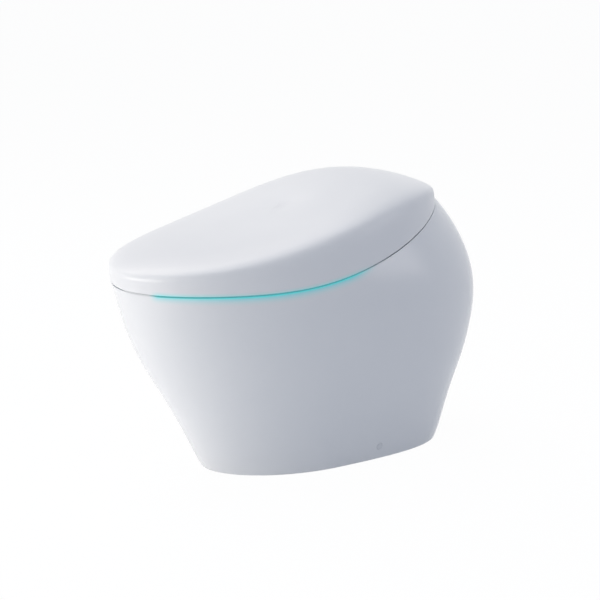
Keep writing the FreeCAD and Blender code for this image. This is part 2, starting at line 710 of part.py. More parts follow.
def lid_sweep():
    """The barrel-shaped room that the lid's back edge needs as it swings round its shaft."""
    radius = math.hypot(get("hinge_inset"), get("hinge_rise") - get("seam_gap")) + get("relief_gap")
    half, end = get("relief_half"), get("relief_end")
    axis = Vector(0, get("lid_axis_at"), get("lid_axis_height"))
    left, right = Vector(-half, 0, 0), Vector(half, 0, 0)
    bulge = Part.Arc(left + Vector(0, 0, end), Vector(0, 0, radius), right + Vector(0, 0, end)).toShape()
    ends = [Part.makeLine(left, left + Vector(0, 0, end)), Part.makeLine(right + Vector(0, 0, end), right)]
    outline = Part.Wire(Part.__sortEdges__([bulge, *ends, Part.makeLine(right, left)]))
    room = Part.Face(outline).revolve(Vector(), Vector(1, 0, 0), 360)
    room.translate(axis)
    return room


def rim_nozzle_spot(x):
    return Vector(x, get("rim_nozzle_at"), get("rim_height") - get("rim_nozzle_drop"))


def nozzle_hole():
    return bar(
        get("rim_nozzle_radius") + get("rim_nozzle_gap"),
        rim_nozzle_spot(get("rim_nozzle_inner") - get("wall")),
        rim_nozzle_spot(get("rim_nozzle_outer")),
    )


def largest(shape):
    return max(shape.Solids, key=lambda solid: solid.Volume)


def trap_outside():
    return tube(trap_points(get("spigot_height")), get("trap_bend"), get("trap_radius") + get("trap_wall"))


def trap_inside():
    return tube(trap_points(FLOOR), get("trap_bend"), get("trap_radius"))


def ceramic_body():
    """Outer skin of the casting with its raised lip and an open foot."""
    rim = get("rim_height")
    skin = envelope().common(under_seam())
    skin = skin.makeFillet(
        get("foot_round"), [edge for edge in skin.Edges if edge.BoundBox.ZMax < get("foot_round")],
    )
    well = envelope(get("lip")).common(slab(rim, rim + get("crown_height")))
    hollow = envelope(get("wall")).common(slab(FLOOR - get("wall"), rim))
    shape = skin.cut(well).cut(hollow).cut([arch(0.0), lid_sweep()] + side_holes())
    return feature("ceramic_body", largest(shape))


def ceramic_rim():
    """Rim deck of the casting round the bowl's mouth, with the trough for the wand."""
    rim = get("rim_height")
    deck = envelope(get("wall")).common(slab(rim - get("rim_thickness"), rim))
    shape = deck.fuse(trough_block()).cut(bowl_inside())
    shape = shape.cut([trough_hollow(), deck_opening(), lid_sweep()] + plate_screw_holes())
    return feature("ceramic_rim", largest(shape))


def ceramic_bowl():
    """Bowl of the casting, from the underside of the rim deck down to the sump."""
    shape = bowl_outside().common(slab(FLOOR, get("rim_height") - get("rim_thickness")))
    shape = shape.cut(trough_block()).cut(bowl_inside()).cut(trap_inside())
    return feature("ceramic_bowl", largest(shape.cut([trough_hollow(), nozzle_hole()])))


def ceramic_trap():
    """Trapway of the casting, from the sump up over the weir and down to the spigot."""
    return feature("ceramic_trap", largest(trap_outside().cut(bowl_outside()).cut(trap_inside())))


# Floor fixing and drain

def floor_brackets():
    def make(side):
        outer = "foot_inner - bracket_gap"
        wide = "side_screw_at - bracket_width / 2", "side_screw_at + bracket_width / 2"
        leg = box(
            "bracket_leg", span(side, outer + " - bracket_thickness", outer), wide,
            ("0", "bracket_height"),
        )
        foot = box(
            "bracket_foot", span(side, outer + " - bracket_reach", outer), wide,
            ("0", "bracket_thickness"),
        )
        middle = signed(side, "(%s - bracket_thickness / 2 - bracket_reach / 2)" % outer)
        hole = rod("bracket_hole", "Z", "bracket_hole", "0", "bracket_thickness", middle, "side_screw_at")
        tap = rod("bracket_tap", "X", "side_screw_radius + screw_gap",
                  *span(side, outer + " - bracket_thickness", outer), "side_screw_at", "side_screw_height")
        return cut("floor_bracket", fused("bracket_angle", leg, foot), hole, tap)
    return mirrored_pair("floor_brackets", make)


def side_screws():
    def make(side):
        spot = "side_screw_at", "side_screw_height"
        seat = "side_face - cap_recess"
        shank = span(side, "foot_inner - bracket_gap - bracket_thickness - side_screw_tail", seat)
        head = span(side, seat, seat + " + side_screw_head_depth")
        return fused("side_screw",
                     rod("side_screw_shank", "X", "side_screw_radius", *shank, *spot),
                     rod("side_screw_head", "X", "side_screw_head", *head, *spot))
    return mirrored_pair("side_screws", make)


def side_screw_caps():
    """Domed push-in caps over the fixing screws."""
    def make(side):
        spot = "side_screw_at", "side_screw_height"
        face = "side_face + cap_proud"
        rim = span(side, face + " - cap_thickness", face + " - cap_dome")
        plain = rod("cap_rim", "X", "cap_radius", *rim, *spot)
        crown = doc.addObject("Part::Cone", "cap_crown")
        crown.Placement.Rotation = Rotation(Vector(0, 1, 0), 90 * side)
        bind(crown, "Radius1", "cap_radius")
        bind(crown, "Radius2", "cap_radius - cap_dome * 2")
        bind(crown, "Height", "cap_dome")
        place(crown, signed(side, "(%s - cap_dome)" % face), *spot)
        return fused("side_screw_cap", plain, crown)
    return mirrored_pair("side_screw_caps", make)


def drain_socket():
    """Collar between the spigot and the floor pipe, with a flange on the floor."""
    spigot = "(trap_radius + trap_wall)"
    socket = spigot + " + drain_socket_gap"
    barrel = socket + " + drain_barrel_wall"
    stop = "drain_pipe_depth + drain_stop"
    top = stop + " + drain_socket_depth"
    body = turned("drain_socket_barrel", [
        ("drain_pipe_radius", "0"), ("drain_flange_radius", "0"),
        ("drain_flange_radius", "drain_flange_thickness"),
        (barrel, "drain_flange_thickness"), (barrel, top), (socket, top), (socket, stop),
        ("trap_radius", stop), ("trap_radius", "drain_pipe_depth"),
        ("drain_pipe_radius", "drain_pipe_depth"),
    ])
    del pieces[body.Label]
    place(body, y="drain_at")
    holes = [rod("drain_hole", "Z", "drain_hole", "0", "drain_flange_thickness",
                 signed(side, "drain_hole_at"), "drain_at") for side in SIDES]
    return piece(cut("drain_socket", body, *holes))


def drain_seal():
    """Rubber ring between the spigot and its collar."""
    inner = "trap_radius + trap_wall + seal_gap"
    outer = "trap_radius + trap_wall + drain_socket_gap - seal_gap"
    low = "spigot_height + seal_gap"
    ring = turned("drain_seal", [
        (inner, low), (outer, low), (outer, low + " + seal_height"), (inner, low + " + seal_height"),
    ])
    return place(ring, y="drain_at")


# Rear services

def service_spot(name, y):
    return Vector(get(name + "_at"), y, get("service_height"))


def service_panel():
    """Curved panel that closes the service opening, with a flat boss and a hole for water and for power."""
    outer = envelope(get("panel_recess"))
    inner = envelope(get("panel_recess") + get("panel_thickness"))
    shape = outer.cut(inner).common(arch(get("panel_gap"))).common(slab(FLOOR + get("panel_gap"), reach()))
    low, high = get("service_face") - get("boss_in"), get("service_face") + get("boss_out")
    radius = get("inlet_flange") + get("boss_rim")
    ends = {name: (service_spot(name, low), service_spot(name, high)) for name in ("inlet", "gland")}
    shape = shape.fuse([bar(radius, *pair) for pair in ends.values()])
    for name, pair in ends.items():
        shape = shape.cut(bar(get(name + "_radius") + get("fitting_gap"), *pair))
    return feature("service_panel", shape.Solids[0])


def fitting(label, points, x):
    """A turned fitting that points backwards through the service panel."""
    body = turned(label, points)
    body.Placement.Rotation = TURNS["Y"]
    return place(body, x, "service_face", "service_height")


def water_inlet():
    """Threaded stub for the supply, clamped to the panel by a nut."""
    inside, outside = "-boss_in - fitting_seat", "boss_out + fitting_seat"
    nut, flange = inside + " - inlet_nut_thickness", outside + " + inlet_flange_thickness"
    tail, tail_radius = "-inlet_tail", "hose_radius - fitting_gap"
    return fitting("water_inlet", [
        ("inlet_bore", tail), (tail_radius, tail), (tail_radius, nut), ("inlet_nut_radius", nut),
        ("inlet_nut_radius", inside), ("inlet_radius", inside), ("inlet_radius", outside),
        ("inlet_flange", outside),
        ("inlet_flange", flange), ("inlet_radius", flange), ("inlet_radius", flange + " + inlet_length"),
        ("inlet_bore", flange + " + inlet_length"),
    ], "inlet_at")


def power_gland():
    """Cable gland with a domed nut; the lead itself isn't part of the object as shown."""
    inside, outside = "-boss_in - fitting_seat", "boss_out + fitting_seat"
    nut = inside + " - inlet_nut_thickness"
    return fitting("power_gland", [
        ("gland_bore", nut), ("gland_dome", nut), ("gland_dome", inside), ("gland_radius", inside),
        ("gland_radius", outside), ("gland_dome", outside), ("gland_dome", outside + " + gland_length / 2"),
        ("gland_radius", outside + " + gland_length"), ("gland_bore", outside + " + gland_length"),
    ], "gland_at")


def supply_hose():
    """From the inlet's tail up to the bottom of the flush tank."""
    x, z = get("inlet_at"), get("service_height")
    start = get("service_face") - get("inlet_tail") - get("hose_gap")
    top = get("rim_height") - get("tank_height") - get("hose_gap")
    down = get("hose_down_at")
    points = [Vector(x, start, z), Vector(x, down, z), Vector(x, down, top)]
    return feature(
        "supply_hose",
        hose(points, get("hose_bend"), get("hose_radius"), get("inlet_bore") - get("hose_gap")),
    )


# Flushing

def flush_tank():
    """Box tank that hangs under the base plate, through the opening in the deck."""
    top, bottom = "rim_height", "rim_height - tank_height"
    x, y = ("-tank_half", "tank_half"), ("tank_front", "tank_rear")
    outside = rounded("tank_outside", box("tank_block", x, y, (bottom, top)), "tank_round", upright)
    inside = box("tank_inside", ("-tank_half + tank_wall", "tank_half - tank_wall"),
                 ("tank_front + tank_wall", "tank_rear - tank_wall"),
                 (bottom + " + tank_wall", top + " - tank_wall"))
    port = rod(
        "tank_port", "Z", "inlet_bore - hose_gap", bottom, bottom + " + tank_wall", "inlet_at",
        "hose_down_at",
    )
    return piece(cut("flush_tank", outside, inside, port))


def flush_pump():
    """Pump under the tank: a motor can and a smaller cap."""
    bottom = "rim_height - tank_height"
    low = bottom + " - pump_height"
    can = rod("pump_can", "Z", "pump_radius", low, bottom, "pump_side", "pump_at")
    cap = rod("pump_cap", "Z", "pump_cap_radius", low + " - pump_cap_height", low, "pump_side", "pump_at")
    return piece(fused("flush_pump", can, cap))


def rim_nozzle():
    """Short pipe through the bowl's wall under the rim."""
    spot = "rim_nozzle_at", "rim_height - rim_nozzle_drop"
    ends = "rim_nozzle_inner", "rim_nozzle_outer"
    return piece(cut("rim_nozzle", rod("nozzle_pipe", "X", "rim_nozzle_radius", *ends, *spot),
                     rod("nozzle_bore", "X", "rim_nozzle_bore", *ends, *spot)))


def rim_hose():
    """From the pump forward between bowl and skirt to the rim nozzle."""
    start = rim_nozzle_spot(get("rim_nozzle_outer") + get("hose_gap"))
    low = get("rim_height") - get("tank_height") - get("pump_height") / 2
    turn = Vector(get("rim_hose_low_side"), get("rim_hose_low_at"), low)
    pump = Vector(get("pump_side"), get("pump_at"), low)
    toward = (turn - pump).normalize()
    points = [
        start,
        rim_nozzle_spot(get("rim_hose_side")),
        Vector(get("rim_hose_side"), get("rim_hose_turn_at"), get("rim_hose_turn_height")),
        turn,
        pump + toward * (get("pump_radius") + get("hose_gap")),
    ]
    return feature(
        "rim_hose", hose(points, get("rim_hose_bend"), get("rim_hose_radius"), get("rim_nozzle_bore")),
    )


# Top unit

def base_plate():
    """Chassis plate on the rim deck behind the bowl, notched for the wand's tray."""
    rim = get("rim_height")
    outline = slice_face(envelope(get("lip") + get("plate_gap")), rim + get("plate_thickness"))
    outline.translate(Vector(0, 0, -get("plate_thickness")))
    plate = outline.extrude(Vector(0, 0, get("plate_thickness")))
    half = get("plate_notch_half")
    far = reach()
    plate = plate.common(column(-far, far, get("plate_front"), far))
    plate = plate.cut(column(-half, half, -far, get("plate_notch_rear")))
    return feature("base_plate", plate.cut(plate_screw_holes()).Solids[0])


def plate_screws():
    def make(x, y):
        head_top = "plate_top + plate_screw_head_height"
        shank = rod(
            "plate_screw_shank", "Z", "plate_screw_radius", "plate_top - plate_screw_length", "plate_top",
            x, y,
        )
        head = rod("plate_screw_head", "Z", "plate_screw_head", "plate_top", head_top, x, y)
        return fused("plate_screw", shank, head)
    spots = [(signed(side, "plate_screw_side"), "plate_screw_front") for side in SIDES]
    spots += [(signed(side, "plate_screw_back_side"), "plate_screw_back") for side in SIDES]
    return piece(grouped("plate_screws", *[make(x, y) for x, y in spots]))


def cover_profile(inset):
    """Side view of the unit cover: a leaning front, a sloping top and an upright back."""
    far = reach()
    low = get("plate_top")
    lean = math.tan(math.radians(get("cover_lean")))
    rise = math.tan(math.radians(get("cover_slope")))
    height = get("cover_front_height") - inset
    front = get("cover_front") + inset
    rear = get("cover_rear") - inset
    front_top = front + height * lean
    corners = [
        Vector(-far, front, low),
        Vector(-far, front_top, low + height),
        Vector(-far, rear, low + height + (rear - front_top) * rise),
        Vector(-far, rear, low),
    ]
    return Part.Face(Part.makePolygon(corners + corners[:1])).extrude(Vector(2 * far, 0, 0))


def cover_solid(inset):
    outside = get("lip") + get("cover_gap") + inset
    return envelope(outside).common(cover_profile(inset))


def cover_front_frame():
    """The leaning front face of the cover: X across, Z up the face, Y into the unit."""
    turn = Rotation(Vector(1, 0, 0), -get("cover_lean"))
    return Placement(Vector(0, get("cover_front"), get("plate_top")), turn)


def cover_top_frame():
    """The place of the power button on the cover's sloping top, Z square to it."""
    lean = math.tan(math.radians(get("cover_lean")))
    rise = math.tan(math.radians(get("cover_slope")))
    height = get("cover_front_height")
    back = get("button_back")
    spot = Vector(
        get("button_side"), get("cover_front") + height * lean + back,
        get("plate_top") + height + back * rise,
    )
    return Placement(spot, Rotation(Vector(1, 0, 0), get("cover_slope")))


def window_block(gap):
    half, height, lift = get("window_half") + gap, get("window_height") / 2 + gap, get("window_lift")
    block = Part.makeBox(2 * half, get("window_thickness"), 2 * height, Vector(-half, 0, lift - height))
    along = [edge for edge in block.Edges if abs(edge.tangentAt(edge.FirstParameter).y) > 0.999]
    return block.makeFillet(height * 0.98, along)


def unit_cover():
    """Moulded cover over the washing and drying unit, with a window, a button cup and the wand's port."""
    outside = cover_solid(0.0)
    low = get("plate_top")
    level = low + get("cover_round")
    top_edges = [edge for edge in outside.Edges if edge.BoundBox.ZMin > level
                 or (edge.BoundBox.ZLength > get("cover_round") and edge.BoundBox.ZMin < level)]
    outside = outside.makeFillet(get("cover_round"), top_edges)
    shape = outside.cut(cover_solid(get("cover_wall")))
    half = get("tray_half") + get("trough_gap")
    slot = Part.makeBox(
        2 * half, get("cover_front"), get("cover_slot_height"), Vector(-half, get("plate_front"), low),
    )
    window = window_block(get("window_gap"))
    window.translate(Vector(0, -get("window_proud"), 0))
    window.Placement = cover_front_frame().multiply(window.Placement)
    radius = get("button_radius") + get("button_gap")
    depth, wall = get("button_cup_depth"), get("button_cup_wall")
    cup = Part.makeCylinder(radius + wall, depth, Vector(0, 0, -depth))
    well = Part.makeCylinder(radius, depth + get("cover_round"), Vector(0, 0, wall - depth))
    for part in (cup, well):
        part.Placement = cover_top_frame().multiply(part.Placement)
    shape = shape.fuse(cup.common(outside)).cut([slot, window, well])
    return feature("unit_cover", shape.Solids[0])


def sensor_window():
    """Dark lens in the front of the cover."""
    lens = window_block(0.0)
    lens.translate(Vector(0, -get("window_proud"), 0))
    lens.Placement = cover_front_frame().multiply(lens.Placement)
    return feature("sensor_window", lens)


def power_button():
    """Round push button in its cup on the cover's top."""
    low, high = "button_proud - button_height", "button_proud"
    button = turned("power_button", [
        ("0", low), ("button_radius", low), ("button_radius", high + " - button_round"),
        ("button_radius - button_round", high), ("0", high),
    ])
    button.Placement = cover_top_frame()
    return button


def heater_tank():
    """Water heater block with two hose ports."""
    z = "plate_top", "plate_top + heater_height"
    bounds = ("heater_left", "heater_right"), ("heater_front", "heater_rear"), z
    block = rounded("heater_shell", box("heater_block", *bounds), "heater_round", upright)
    middle = "plate_top + heater_height / 2"
    end = "heater_rear + heater_port_length - heater_port"
    ports = [rod("heater_port", "Y", "heater_port", "heater_rear", end,
                 "heater_left + heater_round * 2 + heater_port * %d" % shift, middle) for shift in (0, 4)]
    return piece(fused("heater_tank", block, *ports))


def control_board():
    """Circuit board on four standoffs over the heater."""
    low = "plate_top + heater_height + standoff_height"
    x = "heater_left + board_margin", "heater_right - board_margin"
    y = "heater_front + board_margin", "heater_rear - board_margin"
    plate = box("board_plate", x, y, (low, low + " + board_thickness"))
    foot = "plate_top + heater_height"
    posts = [rod("standoff", "Z", "standoff_radius", foot, low, a + sign_x, b + sign_y)
             for a, sign_x in zip(x, (" + board_margin", " - board_margin"))
             for b, sign_y in zip(y, (" + board_margin", " - board_margin"))]
    return piece(fused("control_board", plate, *posts))


def valve_block():
    """Water valve manifold with two solenoid coils."""
    block = box("valve_manifold", ("valve_left", "valve_right"), ("valve_front", "valve_rear"),
                ("plate_top", "plate_top + valve_height"))
    count = int(get("coil_count"))
    low = "plate_top + valve_height"
    coils = [rod("valve_coil", "Z", "coil_radius", low, low + " + coil_height",
                 "valve_left + (valve_right - valve_left) * %d / (2 * coil_count)" % (2 * i + 1),
                 "(valve_front + valve_rear) / 2") for i in range(count)]
    return piece(fused("valve_block", block, *coils))


def power_supply():
    """Sealed power supply beside the wand."""
    block = box("supply_block", ("supply_left", "supply_right"), ("supply_front", "supply_rear"),
                ("plate_top", "plate_top + supply_height"))
    return piece(rounded("power_supply", block, "supply_round", upright))


def deodoriser_filter():
    """Carbon filter cartridge with a slotted face."""
    block = box("filter_case", ("filter_left", "filter_right"), ("filter_front", "filter_rear"),
                ("plate_top", "plate_top + filter_height"))
    count = int(get("filter_slot_count"))
    pitch = "(filter_rear - filter_front - 2 * filter_slot_margin) / filter_slot_count"
    slots = [box("filter_slot", ("filter_left", "filter_left + filter_slot_depth"),
                 ("filter_front + filter_slot_margin + %s * %d" % (pitch, i),
                  "filter_front + filter_slot_margin + %s * %d + filter_slot" % (pitch, i)),
                 ("plate_top + filter_slot_margin", "plate_top + filter_height - filter_slot_margin"))
             for i in range(count)]
    return piece(cut("deodoriser_filter", block, *slots))


# Washing wand

def sloped(item):
    """Sets an object that was drawn in the wand's frame into the object's frame."""
    item.Placement = slope().multiply(item.Placement)
    bind(item, "Placement.Base.y", "wand_exit")
    bind(item, "Placement.Base.z", "wand_exit_height")
    return piece(item)


def nozzle_tray():
    """Sloping tray under the wand and the air duct, with low side walls."""
    low = "-guide_under - tray_floor"
    y = "tray_front", "tray_rear"
    floor = box("tray_floor_plate", ("-tray_half", "tray_half"), y, (low, "-guide_under"))
    z = low, low + " + tray_side_height"
    walls = [box("tray_wall", span(side, "tray_half - tray_side", "tray_half"), y, z) for side in SIDES]
    return sloped(fused("nozzle_tray", floor, *walls))


def wand_guide():
    """Guide block with a round bore for the wand and a slot for its rack."""
    y = "guide_front", "guide_rear"
    block = box("guide_block", ("-guide_half", "guide_half"), y, ("-guide_under", "guide_over"))
    bore = rod("guide_bore", "Y", "wand_radius + wand_gap", *y, "0", "0")
    slot = box("guide_slot", ("0", "guide_half"), y, ("-rack_half - rack_gap", "rack_half + rack_gap"))
    return sloped(cut("wand_guide", block, bore, slot))


def wand_tube():
    """Water tube that slides in the guide."""
    y = "wand_tip_front + wand_tip_length", "wand_rear"
    return sloped(cut("wand_tube", rod("wand_bar", "Y", "wand_radius", *y, "0", "0"),
                      rod("wand_bore", "Y", "wand_bore", *y, "0", "0")))


def wand_tip():
    """Nozzle head with a flat on top and three spray holes."""
    y = "wand_tip_front", "wand_tip_front + wand_tip_length"
    head = rod("tip_head", "Y", "wand_radius", *y, "0", "0")
    flat = box("tip_flat", ("-wand_radius", "wand_radius"), y, ("wand_tip_flat", "wand_radius"))
    holes = [rod("tip_hole", "Z", "wand_tip_hole", "0", "wand_radius", "0",
                 "wand_tip_front + wand_tip_length * %d / 4" % i) for i in (1, 2, 3)]
    return sloped(cut("wand_tip", head, flat, *holes))


def gear_tooth(root, tip, root_half, tip_half):
    """Corners of one straight-sided tooth that points along the first axis."""
    return [(root, "-(%s)" % root_half), (tip, "-(%s)" % tip_half), (tip, tip_half), (root, root_half)]


def wand_rack():
    """Toothed strip on the side of the wand."""
    pitch = math.pi * get("gear_module")
    count = int((get("rack_rear") - get("rack_front")) / pitch)
    start = get("gear_at") + pitch / 2 - pitch * math.floor((get("gear_at") - get("rack_front")) / pitch)
    low, high = -get("rack_half"), get("rack_half")
    inner = get("wand_radius") * math.cos(math.asin(high / get("wand_radius")))
    spine = get("wand_radius") + get("rack_spine")
    strip = Part.makeBox(spine - inner, get("rack_rear") - get("rack_front"), high - low,
                         Vector(inner, get("rack_front"), low))
    tip = spine + get("gear_module") * 2
    root_half = pitch / 4 + get("gear_module") * 1.25 * math.tan(math.radians(20)) - get("gear_backlash") / 2
    tip_half = pitch / 4 - get("gear_module") * 0.75 * math.tan(math.radians(20)) - get("gear_backlash") / 2
    teeth = []
    for i in range(count - 1):
        middle = start + i * pitch
        corners = [
            Vector(spine, middle - root_half, low), Vector(tip, middle - tip_half, low),
            Vector(tip, middle + tip_half, low), Vector(spine, middle + root_half, low),
        ]
        teeth.append(Part.Face(Part.makePolygon(corners + corners[:1])).extrude(Vector(0, 0, high - low)))
    shape = strip.fuse(teeth).removeSplitter().cut(bar(get("wand_radius"), Vector(0, get("rack_front"), 0),
                                                       Vector(0, get("rack_rear"), 0)))
    item = feature("wand_rack", shape.Solids[0])
    item.Placement = slope()
    return item


def wand_pinion():
    """Pinion that drives the rack, with its shaft up into the motor."""
    body = doc.addObject("PartDesign::Body", "wand_pinion")
    blank = sketch_on(body, "XY_Plane", "pinion_root")
    circle(blank, "gear_pitch - gear_module * 1.25")
    pad = body.newObject("PartDesign::Pad", "pinion_blank")
    pad.Profile = blank
    pad.Midplane = True
    bind(pad, "Length", "rack_half * 2")
    tooth = sketch_on(body, "XY_Plane", "pinion_tooth_outline")
    polygon(tooth, gear_tooth("gear_pitch - gear_module * 1.6", "gear_pitch + gear_module * 0.75",
                              "gear_module * 1.1", "gear_module * 0.4"))
    teeth = body.newObject("PartDesign::Pad", "pinion_tooth")
    teeth.Profile = tooth
    teeth.Midplane = True
    bind(teeth, "Length", "rack_half * 2")
    ring = body.newObject("PartDesign::PolarPattern", "pinion_teeth")
    ring.Originals = [teeth]
    ring.Axis = (blank, ["N_Axis"])
    ring.Angle = 360
    bind(ring, "Occurrences", "gear_teeth")
    body.Tip = ring
    shaft = sketch_on(body, "XY_Plane", "pinion_shaft_outline")
    circle(shaft, "gear_shaft")
    stem = body.newObject("PartDesign::Pad", "pinion_shaft")
    stem.Profile = shaft
    bind(stem, "Length", "guide_over + gear_shaft_depth")
    doc.recompute()
    body.Placement = slope().multiply(Placement(Vector(get("gear_side"), get("gear_at"), 0), Rotation()))
    return piece(body)


def wand_motor():
    """Small motor that stands on the guide, over the pinion."""
    low, high = "guide_over", "guide_over + wand_motor_height"
    can = rod("motor_can", "Z", "wand_motor_radius", low, high, "gear_side", "gear_at")
    end = low + " + gear_shaft_depth + gear_backlash"
    hole = rod("motor_bore", "Z", "gear_shaft + gear_shaft_gap", low, end, "gear_side", "gear_at")
    return sloped(cut("wand_motor", can, hole))


# Warm air dryer

def duct_sweep(inset):
    """Rectangular duct: level from the fan, then down the wand's slope to the bowl."""
    left, right = get("duct_left") + inset, get("duct_right") - inset
    half = get("duct_half_height") - inset
    frame = slope()
    mouth = frame.multVec(Vector(left, get("duct_front"), 0))
    level = get("plate_top") + get("duct_lift")
    along = frame.Rotation.multVec(Vector(0, 1, 0))
    knee = mouth + along * ((level - mouth.z) / along.z)
    end = Vector(left, get("duct_rear"), level)
    path = rounded_path([mouth, knee, end], get("duct_bend"))
    up = frame.Rotation.multVec(Vector(0, 0, half))
    across = Vector(right - left, 0, 0)
    corners = [mouth - up, mouth - up + across, mouth + up + across, mouth + up]
    return path.makePipeShell([Part.makePolygon(corners + corners[:1])], True, False)


def flap_axis(x):
    """A point of the flap's hinge line, above the duct's mouth."""
    lift = get("duct_half_height") + get("flap_ear_radius")
    return slope().multVec(Vector(x, get("duct_front") - get("flap_gap") - get("flap_thickness") / 2, lift))


def dryer_duct():
    """Air duct with two ears at its mouth for the flap's pins."""
    shape = duct_sweep(0.0).cut(duct_sweep(get("duct_wall")))
    ear, radius = get("flap_ear"), get("flap_ear_radius")
    middle, front = get("duct_half_height"), get("duct_front")
    flap = front - get("flap_gap") - get("flap_thickness") / 2
    top = middle + radius * 2
    for left in (get("duct_left"), get("duct_right") - ear):
        x = left, left + ear
        back = sloped_block(x, (front, front + radius * 3), (middle - get("duct_wall"), top))
        nose = bar(radius, flap_axis(left), flap_axis(left + ear))
        hole = bar(get("flap_pin_radius") + get("flap_pin_gap"), flap_axis(left), flap_axis(left + ear))
        bridge = sloped_block(x, (flap, front), (middle + radius * 0.5, top))
        shape = shape.fuse([back, nose, bridge]).cut(hole)
    return feature("dryer_duct", shape.removeSplitter().Solids[0])


def dryer_flap():
    """Flap over the duct's mouth with its hinge pins."""
    left, right = get("duct_left"), get("duct_right")
    ear = get("flap_ear")
    inner = left + ear + get("flap_gap"), right - ear - get("flap_gap")
    front = get("duct_front") - get("flap_gap")
    high = get("duct_half_height") + get("flap_ear_radius")
    plate = sloped_block(inner, (front - get("flap_thickness"), front), (-get("duct_half_height"), high))
    pin = bar(get("flap_pin_radius"), flap_axis(left + get("flap_gap")), flap_axis(right - get("flap_gap")))
    barrel = bar(get("flap_thickness"), flap_axis(inner[0]), flap_axis(inner[1]))
    return feature("dryer_flap", plate.fuse([barrel, pin]).removeSplitter().Solids[0])


def dryer_housing():
    """Round fan housing with an inlet hole below the motor's spider."""
    spot = "fan_side", "fan_at"
    top = "plate_top + volute_height"
    shell = rod("volute_shell", "Z", "volute_radius", "plate_top", top, *spot)
    room = rod(
        "volute_room", "Z", "volute_radius - volute_wall", "plate_top + volute_wall",
        top + " - volute_wall", *spot,
    )
    shaft = rod("volute_hole", "Z", "fan_shaft * 2", top + " - volute_wall", top, *spot)
    return piece(cut("dryer_housing", shell, room, shaft))


def dryer_fan():
    """Drum fan: a hub, a floor disc and a ring of blades."""
    body = doc.addObject("PartDesign::Body", "dryer_fan")
    disc = sketch_on(body, "XY_Plane", "fan_disc_outline")
    circle(disc, "fan_radius")
    floor = body.newObject("PartDesign::Pad", "fan_disc")
    floor.Profile = disc
    bind(floor, "Length", "fan_floor")
    hub_outline = sketch_on(body, "XY_Plane", "fan_hub_outline")
    circle(hub_outline, "fan_hub")
    hub = body.newObject("PartDesign::Pad", "fan_hub_pad")
    hub.Profile = hub_outline
    bind(hub, "Length", "fan_height")
    outline = sketch_on(body, "XY_Plane", "fan_blade_outline")
    polygon(outline, [
        ("fan_radius - fan_blade_length", "-fan_blade / 2"), ("fan_radius - fan_blade", "-fan_blade * 2"),
        ("fan_radius - fan_blade", "-fan_blade"), ("fan_radius - fan_blade_length", "fan_blade / 2"),
    ])
    blade = body.newObject("PartDesign::Pad", "fan_blade_pad")
    blade.Profile = outline
    bind(blade, "Length", "fan_height")
    ring = body.newObject("PartDesign::PolarPattern", "fan_blades_ring")
    ring.Originals = [blade]
    ring.Axis = (disc, ["N_Axis"])
    ring.Angle = 360
    bind(ring, "Occurrences", "fan_blades")
    body.Tip = ring
    shaft = sketch_on(body, "XY_Plane", "fan_shaft_outline")
    circle(shaft, "fan_shaft")
    stem = body.newObject("PartDesign::Pad", "fan_shaft_pad")
    stem.Profile = shaft
    bind(stem, "Length", "volute_height - volute_wall - fan_lift + dryer_motor_height / 2")
    doc.recompute()
    return place(piece(body), "fan_side", "fan_at", "plate_top + volute_wall + fan_lift")


def dryer_motor():
    """Motor on the fan housing."""
    spot = "fan_side", "fan_at"
    low = "plate_top + volute_height"
    can = rod("dryer_can", "Z", "dryer_motor_radius", low, low + " + dryer_motor_height", *spot)
    bore = rod(
        "dryer_bore", "Z", "fan_shaft + fan_shaft_gap", low, low + " + dryer_motor_height / 2 + fan_lift",
        *spot,
    )
    return piece(cut("dryer_motor", can, bore))


# Seat

def seat_face(inset):
    """Plan of the seat, drawn in by inset: an oval that follows the lip, straight across the back."""
    rim = slice_face(envelope(get("lip") + get("seat_gap") + inset), get("seat_bottom"))
    rim.translate(Vector(0, 0, -get("seat_bottom")))
    far = reach()
    return rim.common(column(-far, far, -far, get("seat_rear") - inset)).Faces[0]


def hole_face(inset):
    outline = oval(
        FLOOR, get("hole_front") + inset, get("hole_rear") + inset, get("hole_half") + inset,
        get("hole_rear") - get("hole_widest"), get("bowl_front_fullness"), get("bowl_rear_fullness"),
    )
    return Part.Face(outline)


def seat_ring(inset, low, high):
    """The seat's ring between two heights, drawn in from its edges, with round rear corners."""
    up = Vector(0, 0, high - low)
    block = seat_face(inset).extrude(up)
    rear = get("seat_rear") - inset
    corners = [
        edge for edge in block.Edges
        if upright(edge) and abs(edge.BoundBox.YMin - rear) < get("pin_gap")
    ]
    ring = block.makeFillet(get("seat_corner") - inset, corners).cut(hole_face(inset).extrude(up))
    ring.translate(Vector(0, 0, low))
    return ring


def seat_lug(side):
    """Hinge lug: an arm from the seat to a boss round the pin."""
    axis = get("seat_axis_at"), get("seat_axis_height")
    inner, outer = sorted((side * get("lug_inner"), side * get("lug_outer")))
    radius = get("lug_radius")
    boss = bar(radius, Vector(inner, *axis), Vector(outer, *axis))
    low = get("seat_bottom") + get("seat_base_thickness")
    high = get("seat_axis_height") + radius * math.sin(math.radians(60))
    arm = Part.makeBox(outer - inner, axis[0] - get("seat_rear") + get("lug_root"), high - low,
                       Vector(inner, get("seat_rear") - get("lug_root"), low))
    return boss, arm


